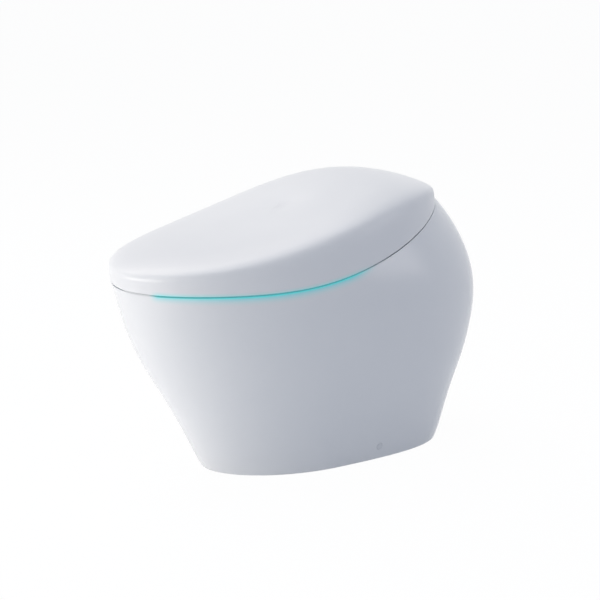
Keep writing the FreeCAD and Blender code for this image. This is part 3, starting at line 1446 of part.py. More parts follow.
def seat_top():
    """Upper shell of the seat with rounded edges, hollow underneath, and its two hinge lugs."""
    low, high = get("seat_bottom"), get("seat_top_height")
    ring = seat_ring(0.0, low, high)
    crown = [edge for edge in ring.Edges if edge.BoundBox.ZMin > high - get("seat_wall") / 2]
    ring = ring.makeFillet(get("seat_round"), crown)
    wall = get("seat_wall")
    shape = ring.cut(seat_ring(wall, low, high - wall))
    for side in SIDES:
        boss, arm = seat_lug(side)
        shape = shape.fuse([boss, arm])
    hole = get("seat_pin_radius") + get("pin_gap")
    far = get("lug_outer") + wall
    axis = get("seat_axis_at"), get("seat_axis_height")
    shape = shape.cut(bar(hole, Vector(-far, *axis), Vector(far, *axis)))
    return feature("seat_top", shape.removeSplitter().Solids[0])


def seat_lower_ring(inset, low, high):
    """A flat ring inside the seat's hollow, clear of the lugs' roots."""
    shape = seat_ring(inset, low, high)
    gap = get("seat_base_gap")
    for side in SIDES:
        inner, outer = sorted((side * get("lug_inner"), side * get("lug_outer")))
        root = get("seat_rear") - get("lug_root")
        shape = shape.cut(column(inner - gap, outer + gap, root - gap, reach()))
    return shape.Solids[0]


def seat_base():
    """Plate that closes the seat's hollow from below."""
    low = get("seat_bottom")
    inset = get("seat_wall") + get("seat_base_gap")
    return feature(
        "seat_base", seat_lower_ring(inset, low, low + get("seat_base_thickness") - get("seat_base_gap")),
    )


def seat_heater():
    """Heating film under the seat's upper skin."""
    high = get("seat_top_height") - get("seat_wall") - get("heater_film_gap")
    inset = get("seat_wall") + get("heater_film_margin")
    return feature("seat_heater", seat_lower_ring(inset, high - get("heater_film"), high))


def seat_buffers():
    """Four rubber pads under the seat."""
    def make(x, y):
        return rod("seat_buffer", "Z", "seat_buffer_radius", "rim_height + buffer_gap", "seat_bottom", x, y)
    spots = [(signed(side, "seat_buffer_front_side"), "seat_buffer_front") for side in SIDES]
    spots += [(signed(side, "seat_buffer_rear_side"), "seat_buffer_rear") for side in SIDES]
    return piece(grouped("seat_buffers", *[make(x, y) for x, y in spots]))


def bearing_bounds():
    return "lug_outer + bearing_gap", "lug_outer + bearing_gap + bearing_width"


def seat_bearings():
    """Blocks on the base plate that carry the seat's pins."""
    def make(side):
        x = span(side, *bearing_bounds())
        y = "seat_axis_at - bearing_half", "seat_axis_at + bearing_half"
        post = box("bearing_post", x, y, ("plate_top", "seat_axis_height"))
        barrel = rod("bearing_barrel", "X", "bearing_over", *x, "seat_axis_at", "seat_axis_height")
        bore = rod("bearing_bore", "X", "seat_pin_radius", *x, "seat_axis_at", "seat_axis_height")
        return cut("seat_bearing", fused("bearing_block", post, barrel), bore)
    return mirrored_pair("seat_bearings", make)


def seat_pins():
    """Steel pins through the lugs into the bearing blocks."""
    def make(side):
        ends = span(side, "lug_inner", bearing_bounds()[1])
        return rod("seat_pin", "X", "seat_pin_radius", *ends, "seat_axis_at", "seat_axis_height")
    return mirrored_pair("seat_pins", make)


def seat_dampers():
    """Soft-close barrels outside the bearing blocks."""
    def make(side):
        low = bearing_bounds()[1] + " + damper_gap"
        barrel = span(side, low, low + " + damper_length")
        cap = span(side, low + " + damper_length", low + " + damper_length + damper_wall")
        spot = "seat_axis_at", "seat_axis_height"
        return fused("seat_damper", rod("damper_barrel", "X", "damper_radius", *barrel, *spot),
                     rod("damper_cap", "X", "damper_radius - damper_wall", *cap, *spot))
    return mirrored_pair("seat_dampers", make)


# Lid

def lid_axes():
    """The lid's own directions: across, up its slope to the back, and square to its top."""
    tilt = math.radians(get("lid_tilt"))
    along, up = Vector(0, math.cos(tilt), math.sin(tilt)), Vector(0, -math.sin(tilt), math.cos(tilt))
    return Vector(1, 0, 0), along, up


def lid_outline():
    """The seam's curve in the lid's directions, sampled at even turns round its middle, with that middle."""
    across, along, up = lid_axes()
    points = [(p.dot(along), p.x, p.dot(up)) for p in seam_wire().discretize(Number=EDGE_SAMPLES)]
    low, high = min(p[0] for p in points), max(p[0] for p in points)
    centre = (low + high) / 2
    half = sorted((math.atan2(x, centre - u), u, x, w) for u, x, w in points if x >= 0)

    def at(turn):
        after = next((i for i, p in enumerate(half) if p[0] >= turn), len(half) - 1)
        before = max(after - 1, 0)
        wide = half[after][0] - half[before][0]
        share = (turn - half[before][0]) / wide if wide else 0.0
        return tuple(between(a, b, share) for a, b in zip(half[before][1:], half[after][1:]))

    side = [at(math.pi * i / LID_STEPS) for i in range(LID_STEPS + 1)]
    side[0], side[-1] = (low, 0.0, side[0][2]), (high, 0.0, side[-1][2])
    loop = side + [(u, -x, w) for u, x, w in reversed(side[1:-1])]
    return loop, centre, (high - low) / 2


def lid_top_at(share):
    """Height of the lid's ridge along its slope, a smooth curve through five stations."""
    tops = [get("lid_%s_top" % name) for name in SEAM_POINTS]
    total = 0.0
    for i, here in enumerate(LID_TOP_STATIONS):
        weight = 1.0
        for j, other in enumerate(LID_TOP_STATIONS):
            if i != j:
                weight *= (share - other) / (here - other)
        total += tops[i] * weight
    return total


def lid_dome(inset=0.0):
    """The solid under the lid's outer face, drawn in by inset: an upright side that rolls into the top."""
    across, along, up = lid_axes()
    loop, centre, long_half = lid_outline()
    wide_half = max(x for u, x, w in loop)
    power = get("lid_edge_power")

    def ring(scale, fall):
        points = []
        for u, x, w in loop:
            away = math.hypot(u - centre, x)
            shrink = scale * (away - inset) / away
            pu, px = (u - centre) * shrink, x * shrink
            top = lid_top_at(pu / long_half) - get("lid_crown") * (px / wide_half) ** 2 - inset
            points.append(across * px + along * (centre + pu) + up * (w + (top - w) * fall))
        curve = Part.BSplineCurve()
        curve.interpolate(points, PeriodicFlag=True)
        return Part.Wire(curve.toShape())

    def partner(share):
        return (1 - share ** power) ** (1 / power)

    edge = ring(1.0, 0.0)
    rings = [edge] + [ring(partner(fall), fall) for fall in LID_FALLS]
    rings += [ring(scale, partner(scale)) for scale in LID_INNER_RINGS]
    peak = Part.Vertex(along * centre + up * (lid_top_at(0.0) - inset))
    top_faces = Part.makeLoft(rings + [peak], False, False, False).Faces
    skirt = edge.extrude(up * -reach()).Faces
    shell = Part.makeShell(top_faces + skirt)
    shell.sewShape()
    return close_below(shell, get("brim_height") - reach() / 2)


def close_below(shell, low):
    """Turns an open shell into a solid by cutting it off at a level plane."""
    kept = shell.common(slab(low, low + 2 * reach()))
    flat = [
        edge for edge in kept.Edges
        if max(abs(edge.BoundBox.ZMax - low), abs(edge.BoundBox.ZMin - low)) < get("pin_gap")
    ]
    rim = Part.Wire(Part.__sortEdges__(flat))
    faces = kept.Faces + [Part.Face(rim)]
    closed = Part.makeShell(faces)
    closed.sewShape()
    return Part.makeSolid(closed)


def lid_bottom():
    return under_seam(get("seam_gap"))


def hinge_notch():
    """Room in the lid's back edge for the hinge housing."""
    half = get("hinge_half") + get("hinge_gap")
    axis_y, axis_z = get("lid_axis_at"), get("lid_axis_height")
    block = Part.makeBox(
        2 * half, reach(), reach(), Vector(-half, axis_y, axis_z + get("notch_over") - reach()),
    )
    return block


def lid_shell():
    """Outer skin of the lid, open below, notched for the hinge."""
    shape = lid_dome().cut(lid_bottom()).cut(lid_dome(get("lid_wall"))).cut(hinge_notch())
    return feature("lid_shell", shape.Solids[0])


def liner_depth():
    return get("lid_wall") + get("liner_gap") + get("liner_wall")


def lid_liner():
    """Smooth inner skin of the lid."""
    shape = lid_dome(get("lid_wall") + get("liner_gap")).cut(lid_dome(liner_depth()))
    shape = shape.cut(lid_bottom()).cut(hinge_notch())
    return feature("lid_liner", shape.Solids[0])


def lug_bounds(side):
    inner = get("hinge_half") + get("hinge_gap")
    return sorted((side * inner, side * (inner + get("lid_lug_width"))))


def lid_lugs():
    """Two ribs under the liner, each with a boss round the lid's shaft."""
    depth = liner_depth() + get("lid_lug_gap")
    room = lid_dome(depth).cut(under_seam(get("seam_gap")))
    ribs = room.cut(lid_dome(depth + get("lid_lug_depth")))
    axis = get("lid_axis_at"), get("lid_axis_height")
    solids = []
    for side in SIDES:
        inner, outer = lug_bounds(side)
        start, end = Vector(inner, *axis), Vector(outer, *axis)
        rib = ribs.common(
            column(inner, outer, axis[0] - get("lid_lug_length"), axis[0] + get("lid_lug_radius")),
        )
        boss = bar(get("lid_lug_radius"), start, end).common(room)
        hole = bar(get("shaft_radius") + get("pin_gap"), start, end)
        solids.append(rib.fuse(boss).cut(hole).Solids[0])
    return feature("lid_lugs", Part.makeCompound(solids))


def lid_buffers():
    """Four rubber blocks on the liner's wall that rest on the seat's edge."""
    low = get("seat_top_height") + get("buffer_gap")
    layer = lid_dome(liner_depth() + get("lid_lug_gap")).common(slab(low, low + get("lid_buffer_height")))
    edge = layer.optimalBoundingBox()
    half = get("lid_buffer_width") / 2
    bite = get("seat_gap") + get("lid_buffer_bite")
    front, rear = get("lid_buffer_front_side"), get("lid_buffer_rear")
    far = reach()
    posts = []
    for side in SIDES:
        posts.append(column(side * front - half, side * front + half, -far, edge.YMin + bite))
        inner, outer = sorted((side * (edge.XMax - bite), side * far))
        posts.append(column(inner, outer, rear - half, rear + half))
    return feature("lid_buffers", Part.makeCompound([layer.common(post).Solids[0] for post in posts]))


def yoke_bounds():
    inner = "hinge_half + hinge_gap + lid_lug_width + hinge_gap / 2"
    return inner, inner + " + yoke_thickness"


def lid_yoke():
    """Steel yoke on the lid's shaft: two arms and a bar, which lift the lid ahead of the rising seat."""
    inner, outer = yoke_bounds()
    axis = "lid_axis_at", "lid_axis_height"
    tip, rise, half = "lid_axis_at - yoke_length", "lid_axis_height + yoke_rise", "yoke_height / 2"
    plate = padded("yoke_plate", "YZ_Plane", [
        ("lid_axis_at", "lid_axis_height - " + half), (tip, rise + " - " + half),
        (tip, rise + " + " + half), ("lid_axis_at", "lid_axis_height + " + half),
    ], "(%s) * 2" % outer)
    plate.Tip.Midplane = True
    del pieces["yoke_plate"]
    bosses = [rod("yoke_boss_rod", "X", "yoke_boss", *span(side, inner, outer), *axis) for side in SIDES]
    window = box("yoke_window", ("-(%s)" % inner, inner), (tip + " + yoke_bar", "lid_axis_at + yoke_boss"),
                 ("lid_axis_height - yoke_height", rise + " + yoke_height"))
    bore = rod("yoke_bore", "X", "shaft_radius + pin_gap", "-(%s)" % outer, outer, *axis)
    return piece(cut("lid_yoke", fused("yoke_frame", plate, *bosses), window, bore))


def yoke_pad():
    """Rubber strip on the yoke's bar, shaped to the lid's inside."""
    half = number(yoke_bounds()[0])
    front = get("lid_axis_at") - get("yoke_length")
    rear = front + get("yoke_bar")
    low = get("lid_axis_height") + get("yoke_rise") + get("yoke_height") / 2
    fall = get("yoke_rise") * get("yoke_bar") / get("yoke_length")
    high = low + get("lid_buffer_height")
    corners = [
        Vector(-half, y, z) for y, z in ((front, low), (rear, low - fall), (rear, high), (front, high))
    ]
    block = Part.Face(Part.makePolygon(corners + corners[:1])).extrude(Vector(2 * half, 0, 0))
    return feature("yoke_pad", block.common(lid_dome(liner_depth() + get("buffer_gap"))).Solids[0])


def lid_shaft():
    """Hinge shaft with a head at each end."""
    end = yoke_bounds()[1]
    head = end + " + shaft_head_thickness"
    body = turned("lid_shaft", [
        ("0", "-(%s)" % head), ("shaft_head", "-(%s)" % head), ("shaft_head", "-(%s)" % end),
        ("shaft_radius", "-(%s)" % end), ("shaft_radius", end), ("shaft_head", end), ("shaft_head", head),
        ("0", head),
    ])
    body.Placement.Rotation = TURNS["X"]
    return place(body, "0", "lid_axis_at", "lid_axis_height")


def hinge_housing():
    """Post behind the unit that carries the lid's shaft and holds its drive."""
    front, back = "lid_axis_at - hinge_depth", "lid_axis_at + hinge_barrel"
    x = "-hinge_half", "hinge_half"
    shoulder = "lid_axis_height - hinge_shoulder"
    block = padded("hinge_post", "YZ_Plane", [
        (front, "plate_top"), (back, "plate_top"), (back, "lid_axis_height"),
        ("lid_axis_at - hinge_barrel", "lid_axis_height"),
        (front, shoulder),
    ], "hinge_half * 2")
    block.Tip.Midplane = True
    del pieces["hinge_post"]
    axis = "lid_axis_at", "lid_axis_height"
    barrel = rod("hinge_barrel_rod", "X", "hinge_barrel", *x, *axis)
    bore = rod("hinge_bore", "X", "shaft_radius + bush_wall", *x, *axis)
    drive_at = "lid_axis_at - (hinge_depth - hinge_barrel) / 2"
    room = rod("hinge_room", "Z", "lid_drive_radius + lid_drive_gap", "plate_top",
               "plate_top + lid_drive_height + lid_drive_gap", "0", drive_at)
    return piece(cut("hinge_housing", fused("hinge_block", block, barrel), bore, room))


def lid_bushes():
    """Plain bushes in both ends of the hinge bore."""
    def make(side):
        ends = span(side, "hinge_half - bush_length", "hinge_half")
        axis = "lid_axis_at", "lid_axis_height"
        return cut("lid_bush", rod("bush_outside", "X", "shaft_radius + bush_wall", *ends, *axis),
                   rod("bush_inside", "X", "shaft_radius + pin_gap", *ends, *axis))
    return mirrored_pair("lid_bushes", make)


def lid_drive():
    """Gear motor upright in the hinge housing."""
    spot = "0", "lid_axis_at - (hinge_depth - hinge_barrel) / 2"
    can = rod("drive_can", "Z", "lid_drive_radius", "plate_top", "plate_top + lid_drive_height", *spot)
    return piece(can, "lid_drive")


# Seam light

def seam_band(inset, width, height):
    """A band on the ceramic's lip, from an inset inwards, on both sides of the seat."""
    far = reach()
    ring = envelope(inset).cut(envelope(inset + width))
    band = ring.common(under_seam(height)).cut(under_seam())
    solids = []
    for side in SIDES:
        low, high = sorted((0.0, side * far))
        solids.append(band.common(column(low, high, get("light_front"), get("light_rear"))).Solids[0])
    return Part.makeCompound(solids)


def light_guides():
    """Clear strips in the seam that glow."""
    return feature("light_guides", seam_band(get("light_inset"), get("light_width"), get("light_height")))


def light_strips():
    """Lamp strips behind the clear strips."""
    inset = get("light_inset") + get("light_width") + get("strip_gap")
    return feature("light_strips", seam_band(inset, get("strip_width"), get("strip_height")))


MAKERS = (
    ceramic_body, ceramic_rim, ceramic_bowl, ceramic_trap, floor_brackets, side_screws, side_screw_caps,
    drain_socket, drain_seal, service_panel, water_inlet, power_gland, supply_hose, flush_tank,
    flush_pump, rim_nozzle, rim_hose, base_plate, plate_screws, unit_cover, sensor_window, power_button,
    heater_tank, control_board, valve_block, power_supply, deodoriser_filter, nozzle_tray, wand_guide,
    wand_tube, wand_tip, wand_rack, wand_pinion, wand_motor, dryer_duct, dryer_flap, dryer_housing,
    dryer_fan, dryer_motor, seat_top, seat_base, seat_heater, seat_buffers, seat_bearings, seat_pins,
    seat_dampers, lid_shell, lid_liner, lid_lugs, lid_buffers, lid_shaft, lid_yoke, yoke_pad,
    hinge_housing, lid_bushes, lid_drive, light_guides, light_strips,
)


def check():
    """Stops if any object failed or any sub-part isn't a sound solid."""
    doc.recompute()
    for item in doc.Objects:
        if "Invalid" in item.State or "Error" in item.State:
            raise RuntimeError("%s failed: %s" % (item.Label, item.State))
    for label, item in pieces.items():
        shape = item.Shape
        if shape.isNull() or not shape.isValid() or not shape.Solids:
            raise RuntimeError("%s is not a valid solid" % label)


def main():
    for make in MAKERS:
        make()
    check()
    os.makedirs("parts", exist_ok=True)
    for label, item in pieces.items():
        item.Shape.exportStep("parts/%s.step" % label)
        print("%-20s %2d solids %12.1f mm3" % (label, len(item.Shape.Solids), item.Shape.Volume))


main()
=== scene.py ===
# %% [markdown]
# # A one-piece smart toilet
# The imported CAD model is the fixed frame: every casting, moulding and mechanism is already there, in metres,
# with the sitter facing -Y. This file gives each of them its finish, adds the light that shines out of the
# seam, and sets up a plain white studio with the camera where the photograph was taken from.

# %% Load the frame
import json
import math

import bpy
from mathutils import Matrix, Vector

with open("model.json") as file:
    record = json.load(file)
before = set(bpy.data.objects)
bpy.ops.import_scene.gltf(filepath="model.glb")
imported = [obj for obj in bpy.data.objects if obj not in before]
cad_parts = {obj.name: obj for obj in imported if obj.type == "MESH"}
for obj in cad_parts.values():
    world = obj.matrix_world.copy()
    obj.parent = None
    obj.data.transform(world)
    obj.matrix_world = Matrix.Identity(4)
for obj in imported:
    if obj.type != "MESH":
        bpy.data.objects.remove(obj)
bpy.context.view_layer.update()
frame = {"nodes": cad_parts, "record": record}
nodes = frame["nodes"]

# %% [markdown]
# ## Writing shaders as sums
# A finish is a few sums on a position, a noise and a mask. Wiring those by hand hides the sums, so one small
# class wraps a socket: Python's own operators add the Math nodes, and one method makes every other node.


# %% Shader expressions
class Shade:
    """An output socket in one material, with arithmetic."""

    def __init__(self, tree, socket=None):
        self.tree = tree
        self.socket = socket

    def node(self, kind, settings=None, inputs=None, out=0):
        """Makes a node: its settings first, a ramp's stops too, then its sockets' values or links."""
        made = self.tree.nodes.new(kind)
        for name, value in (settings or {}).items():
            if name == "stops":
                fill_ramp(made.color_ramp, value)
            else:
                setattr(made, name, value)
        for key, value in (inputs or {}).items():
            if isinstance(value, Shade):
                self.tree.links.new(value.socket, made.inputs[key])
            else:
                made.inputs[key].default_value = value
        return Shade(self.tree, made.outputs[out])

    def math(self, operation, first, second=0.0):
        return self.node("ShaderNodeMath", {"operation": operation}, {0: first, 1: second})

    def __add__(self, other):
        return self.math("ADD", self, other)

    def __radd__(self, other):
        return self.math("ADD", other, self)

    def __sub__(self, other):
        return self.math("SUBTRACT", self, other)

    def __rsub__(self, other):
        return self.math("SUBTRACT", other, self)

    def __mul__(self, other):
        return self.math("MULTIPLY", self, other)

    def __rmul__(self, other):
        return self.math("MULTIPLY", other, self)


def fill_ramp(ramp, stops):
    """Sets a colour ramp's stops from pairs of place and grey value."""
    while len(ramp.elements) < len(stops):
        ramp.elements.new(1.0)
    for element, (place, value) in zip(ramp.elements, stops):
        element.position = place
        element.color = (value, value, value, 1)


def place_on(shade):
    """The point on the object, in the row frame."""
    return shade.node("ShaderNodeTexCoord", out="Object")


def noise(shade, scale, detail=2.0, stretch=None):
    """A noise value about 0.5, in turns per metre, optionally stretched along an axis."""
    where = place_on(shade)
    if stretch:
        where = shade.node("ShaderNodeVectorMath", {"operation": "MULTIPLY"}, {0: where, 1: stretch})
    sockets = {"Vector": where, "Scale": scale, "Detail": detail}
    return shade.node("ShaderNodeTexNoise", {"noise_dimensions": "3D"}, sockets, "Fac")


def tint(shade, mask, low, high):
    """A colour between two, by a mask from 0 to 1. Each is a plain colour or another tint."""
    ends = [end if isinstance(end, Shade) else (*end, 1) for end in (low, high)]
    return shade.node("ShaderNodeMix", {"data_type": "RGBA"}, {0: mask, 6: ends[0], 7: ends[1]}, 2)


def smooth_step(shade, value, low, high):
    """0 below low, 1 above high, and a smooth rise between."""
    sockets = {0: value, 1: low, 2: high, 3: 0.0, 4: 1.0}
    return shade.node("ShaderNodeMapRange", {"interpolation_type": "SMOOTHSTEP"}, sockets)


def bump(shade, height, depth, strength=1.0):
    """A normal from a height of 0 to 1 that stands for a real depth in metres."""
    sockets = {"Height": height, "Distance": depth, "Strength": strength}
    return shade.node("ShaderNodeBump", {}, sockets, "Normal")


finishes = {}


def start(name, **constants):
    """A new finish: its material, a shader with the values that are the same all over, and a Shade."""
    material = bpy.data.materials.new(name)
    material.use_nodes = True
    tree = material.node_tree
    tree.nodes.clear()
    output = tree.nodes.new("ShaderNodeOutputMaterial")
    shader = tree.nodes.new("ShaderNodeBsdfPrincipled")
    tree.links.new(shader.outputs[0], output.inputs[0])
    for socket, value in constants.items():
        shader.inputs[socket.replace("_", " ")].default_value = value
    finishes[name] = material
    return Shade(tree), shader


def feed(shade, shader, **varying):
    """Links what changes over the surface."""
    for socket, value in varying.items():
        shade.tree.links.new(value.socket, shader.inputs[socket.replace("_", " ")])


print("shader helpers ready")

# %% [markdown]
# ## The glow in the seam
# Clear strips in the seam carry lamp light along the sides. It starts just behind the nose and dies away
# towards the back. On the real thing the light also creeps into the glaze and the lid's edge next to it,
# which turn teal. A lamp this thin would need very many samples to show that, so this spill of light is
# painted: the glaze and the lid get a painted teal tint and a painted glow of their own. They sit at the
# seam's height, which is a curve of the distance from front to back.

# %% The seam's curve as shader sums
SEAM_PLACES = (-0.419, -0.242, -0.055, 0.132, 0.319)
SEAM_HEIGHTS = (0.3954, 0.4002, 0.4072, 0.4538, 0.5232)
LIT_FRONT, LIT_REAR = (-0.36, -0.346), (0.0, 0.07)
# Painted light: the teal base colour and glow given to the glaze and lid next to the seam stand in for the
# strip's light spilling onto them.
TEAL_PAINTED_LIGHT, TEAL_GLOW = (0.2, 0.86, 0.87), (0.0, 0.07, 0.066)
GLAZE_REACH, LID_REACH, LID_SHARE = 0.022, 0.014, 0.8


def seam_height(y):
    """The seam's height at a distance y: the one smooth curve through its five points."""
    total = None
    for i, here in enumerate(SEAM_PLACES):
        scale = SEAM_HEIGHTS[i]
        term = None
        for j, other in enumerate(SEAM_PLACES):
            if i == j:
                continue
            scale /= here - other
            step = y - other
            term = step if term is None else term * step
        term = term * scale
        total = term if total is None else total + term
    return total


def lit_ends(shade, y):
    """How far the light has come up behind the nose, and how far it has died away at the back."""
    return smooth_step(shade, y, *LIT_FRONT), smooth_step(shade, y, *LIT_REAR)


def seam_glow(shade, reach, side):
    """The mask of the painted seam light: 1 at the seam, dying away over reach: below it for side -1, above it
    for 1.

    It is measured in the room, not on the piece, so the lid loses its painted glow as it swings away from the
    seam.
    """
    where = shade.node("ShaderNodeNewGeometry", out="Position")
    y = shade.node("ShaderNodeSeparateXYZ", {}, {0: where}, "Y")
    z = Shade(shade.tree, y.socket.node.outputs["Z"])
    away = (z - seam_height(y)) * (side / reach)
    fade = shade.math("MAXIMUM", 1 - away, 0.0)
    on, off = lit_ends(shade, y)
    return fade * fade * fade * on * (1 - off) * shade.math("LESS_THAN", away, 1.0)


print("seam curve through", len(SEAM_PLACES), "points")

# %% [markdown]
# ## Glaze
# Fired glaze is white glass over clay: very smooth, with a barely visible orange-peel ripple where it ran,
# and tiny changes of tone where it is thicker.

# %% Glaze on the ceramic
glaze, shader = start("glaze", Metallic=0.0, IOR=1.5, Emission_Strength=1.0)
depth_of_glaze = noise(glaze, 9.0, 3.0)
ripple = noise(glaze, 160.0, 2.0)
fired = tint(glaze, depth_of_glaze, (0.86, 0.87, 0.88), (0.88, 0.885, 0.89))
# Painted light: below the seam the glaze gets a painted teal tint and a painted glow for the strip's light
# spill.
glow = seam_glow(glaze, GLAZE_REACH, -1)
feed(
    glaze,
    shader,
    Base_Color=tint(glaze, glow, fired, TEAL_PAINTED_LIGHT),
    Roughness=0.19 + depth_of_glaze * 0.06,
    Emission_Color=tint(glaze, glow, (0, 0, 0), TEAL_GLOW),
    Normal=bump(glaze, ripple, 0.00006, 0.5),
)

# %% [markdown]
# ## Lid, seat and cover
# These are moulded plastic: the lid and seat have a soft gloss, and the cover behind the seat has the fine
# satin grain that hides fingerprints.

# %% Mouldings
def moulded(name, low, high, rough, grain_scale, grain_depth, **more):
    """A plastic with a slow drift of tone and a fine grain."""
    shade, shader = start(name, Metallic=0.0, IOR=1.49, **more)
    drift = noise(shade, 14.0, 3.0)
    grain = noise(shade, grain_scale, 3.0)
    tone = tint(shade, drift, low, high)
    feed(
        shade,
        shader,
        Base_Color=tone,
        Roughness=rough + (grain - 0.5) * 0.12,
        Normal=bump(shade, grain, grain_depth, 0.6),
    )
    return shade, shader, tone


lid, shader, plain = moulded(
    "lid_gloss", (0.86, 0.865, 0.875), (0.88, 0.885, 0.89), 0.33, 420.0, 0.00003, Emission_Strength=1.5
)
# Painted light: above the seam the lid's edge gets a painted teal tint and a painted glow for the strip's
# light spill.
glow = seam_glow(lid, LID_REACH, 1) * LID_SHARE
feed(
    lid,
    shader,
    Base_Color=tint(lid, glow, plain, TEAL_PAINTED_LIGHT),
    Emission_Color=tint(lid, glow, (0, 0, 0), TEAL_GLOW),
)
moulded("lid_inner", (0.82, 0.825, 0.83), (0.85, 0.855, 0.86), 0.4, 700.0, 0.00004)
moulded("seat_gloss", (0.85, 0.855, 0.86), (0.88, 0.885, 0.89), 0.2, 420.0, 0.00003)
moulded("cover_white", (0.8, 0.805, 0.81), (0.83, 0.835, 0.84), 0.42, 900.0, 0.00006)
moulded("cap_white", (0.74, 0.755, 0.77), (0.77, 0.785, 0.8), 0.3, 500.0, 0.00003)
moulded("grey_plastic", (0.3, 0.32, 0.34), (0.34, 0.36, 0.38), 0.45, 800.0, 0.00006)
moulded("tank_plastic", (0.6, 0.63, 0.64), (0.68, 0.7, 0.71), 0.4, 300.0, 0.0001)
moulded("black_plastic", (0.02, 0.02, 0.022), (0.03, 0.03, 0.033), 0.48, 1100.0, 0.00008)
moulded("gear_plastic", (0.66, 0.63, 0.55), (0.7, 0.67, 0.6), 0.38, 600.0, 0.00003)
moulded("tip_white", (0.82, 0.825, 0.83), (0.86, 0.865, 0.87), 0.22, 500.0, 0.00002)
moulded("button", (0.5, 0.52, 0.54), (0.54, 0.56, 0.58), 0.32, 700.0, 0.00003)
moulded("lens", (0.008, 0.008, 0.01), (0.012, 0.012, 0.015), 0.08, 200.0, 0.00001)
print("mouldings:", len(finishes))

# %% [markdown]
# ## Rubber and hoses
# Rubber is matt with a speckled surface. The hoses show the spiral of their cord faintly through the wall.

# %% Rubber
def rubbery(name, low, high, rough):
    shade, shader = start(name, Metallic=0.0)
    speck = noise(shade, 1500.0, 2.0)
    cloud = noise(shade, 30.0, 2.0)
    feed(
        shade,
        shader,
        Base_Color=tint(shade, cloud, low, high),
        Roughness=rough + (speck - 0.5) * 0.2,
        Normal=bump(shade, speck, 0.0001, 0.7),
    )


rubbery("rubber", (0.015, 0.015, 0.015), (0.03, 0.03, 0.03), 0.7)
rubbery("pad", (0.6, 0.61, 0.62), (0.66, 0.67, 0.68), 0.62)

hose, shader = start("hose", Metallic=0.0)
spiral = hose.node(
    "ShaderNodeTexWave",
    {"wave_type": "BANDS", "bands_direction": "DIAGONAL", "wave_profile": "SIN"},
    {"Vector": place_on(hose), "Scale": 110.0, "Distortion": 0.4},
    "Fac",
)
feed(
    hose,
    shader,
    Base_Color=tint(hose, spiral, (0.5, 0.52, 0.53), (0.62, 0.64, 0.65)),
    Roughness=0.38 + spiral * 0.12,
    Normal=bump(hose, spiral, 0.0002, 0.6),
)
print("rubber and hose ready")

# %% [markdown]
# ## Metal
# Turned and drawn metal shows fine lines along the way it was worked, so its noise is stretched one way.

# %% Metal
def metal(name, low, high, rough, stretch):
    shade, shader = start(name, Metallic=1.0)
    lines = noise(shade, 60.0, 4.0, stretch)
    feed(
        shade,
        shader,
        Base_Color=tint(shade, lines, low, high),
        Roughness=rough + (lines - 0.5) * 0.16,
        Normal=bump(shade, lines, 0.00004, 0.5),
    )


metal("steel", (0.5, 0.51, 0.52), (0.64, 0.65, 0.66), 0.32, (2.0, 30.0, 30.0))
metal("wand_steel", (0.62, 0.63, 0.64), (0.72, 0.73, 0.74), 0.2, (30.0, 1.5, 30.0))
metal("motor_steel", (0.4, 0.41, 0.42), (0.52, 0.53, 0.54), 0.36, (30.0, 30.0, 2.0))
metal("brass", (0.56, 0.4, 0.17), (0.68, 0.51, 0.25), 0.3, (30.0, 2.0, 30.0))

# %% [markdown]
# ## Board, film and filter
# The circuit board has copper tracks under green lacquer, the seat's heating film has one long wire laid to
# and fro, and the filter's case shows the weave of its carbon felt.

# %% Board, film and filter
board, shader = start("board", Metallic=0.0)
tracks = board.node(
    "ShaderNodeTexBrick",
    {"offset": 0.5, "squash": 1.0},
    {"Vector": place_on(board), "Scale": 90.0, "Mortar Size": 0.05, "Mortar Smooth": 0.2},
    "Fac",
)
feed(
    board,
    shader,
    Base_Color=tint(board, tracks, (0.01, 0.09, 0.035), (0.03, 0.2, 0.08)),
    Roughness=0.3 + tracks * 0.2,
    Normal=bump(board, tracks, 0.00005),
)

film, shader = start("film", Metallic=0.0)
wire = film.node(
    "ShaderNodeTexWave",
    {"wave_type": "RINGS", "rings_direction": "Z", "wave_profile": "SIN"},
    {"Vector": place_on(film), "Scale": 32.0},
    "Fac",
)
wire = film.node("ShaderNodeValToRGB", {"stops": [(0.86, 0.0), (0.93, 1.0)]}, {0: wire})
feed(
    film,
    shader,
    Base_Color=tint(film, wire, (0.52, 0.22, 0.03), (0.6, 0.5, 0.42)),
    Roughness=0.4 - wire * 0.1,
)

felt, shader = start("filter", Metallic=0.0)
cells = {"Vector": place_on(felt), "Scale": 700.0}
weave = felt.node("ShaderNodeTexVoronoi", {"feature": "F1"}, cells, "Distance")
feed(
    felt,
    shader,
    Base_Color=tint(felt, weave, (0.02, 0.024, 0.03), (0.06, 0.066, 0.075)),
    Roughness=0.8 - weave * 0.2,
    Normal=bump(felt, weave, 0.0002),
)
print("board, film and filter ready")

# %% [markdown]
# ## The lit strips
# The clear strip glows teal, a little unevenly where each lamp sits behind it. It is milky where it passes
# the nose. At the back, where no light reaches it, it is a grey of painted shade, darkened for the shadow in
# the seam's gap. The lamp tape behind is pale.

# %% Light strips
strip, shader = start("light_guide", Roughness=0.3, Emission_Strength=0.56)
lamps = noise(strip, 60.0, 1.0)
y = strip.node("ShaderNodeSeparateXYZ", {}, {0: place_on(strip)}, "Y")
on, off = lit_ends(strip, y)
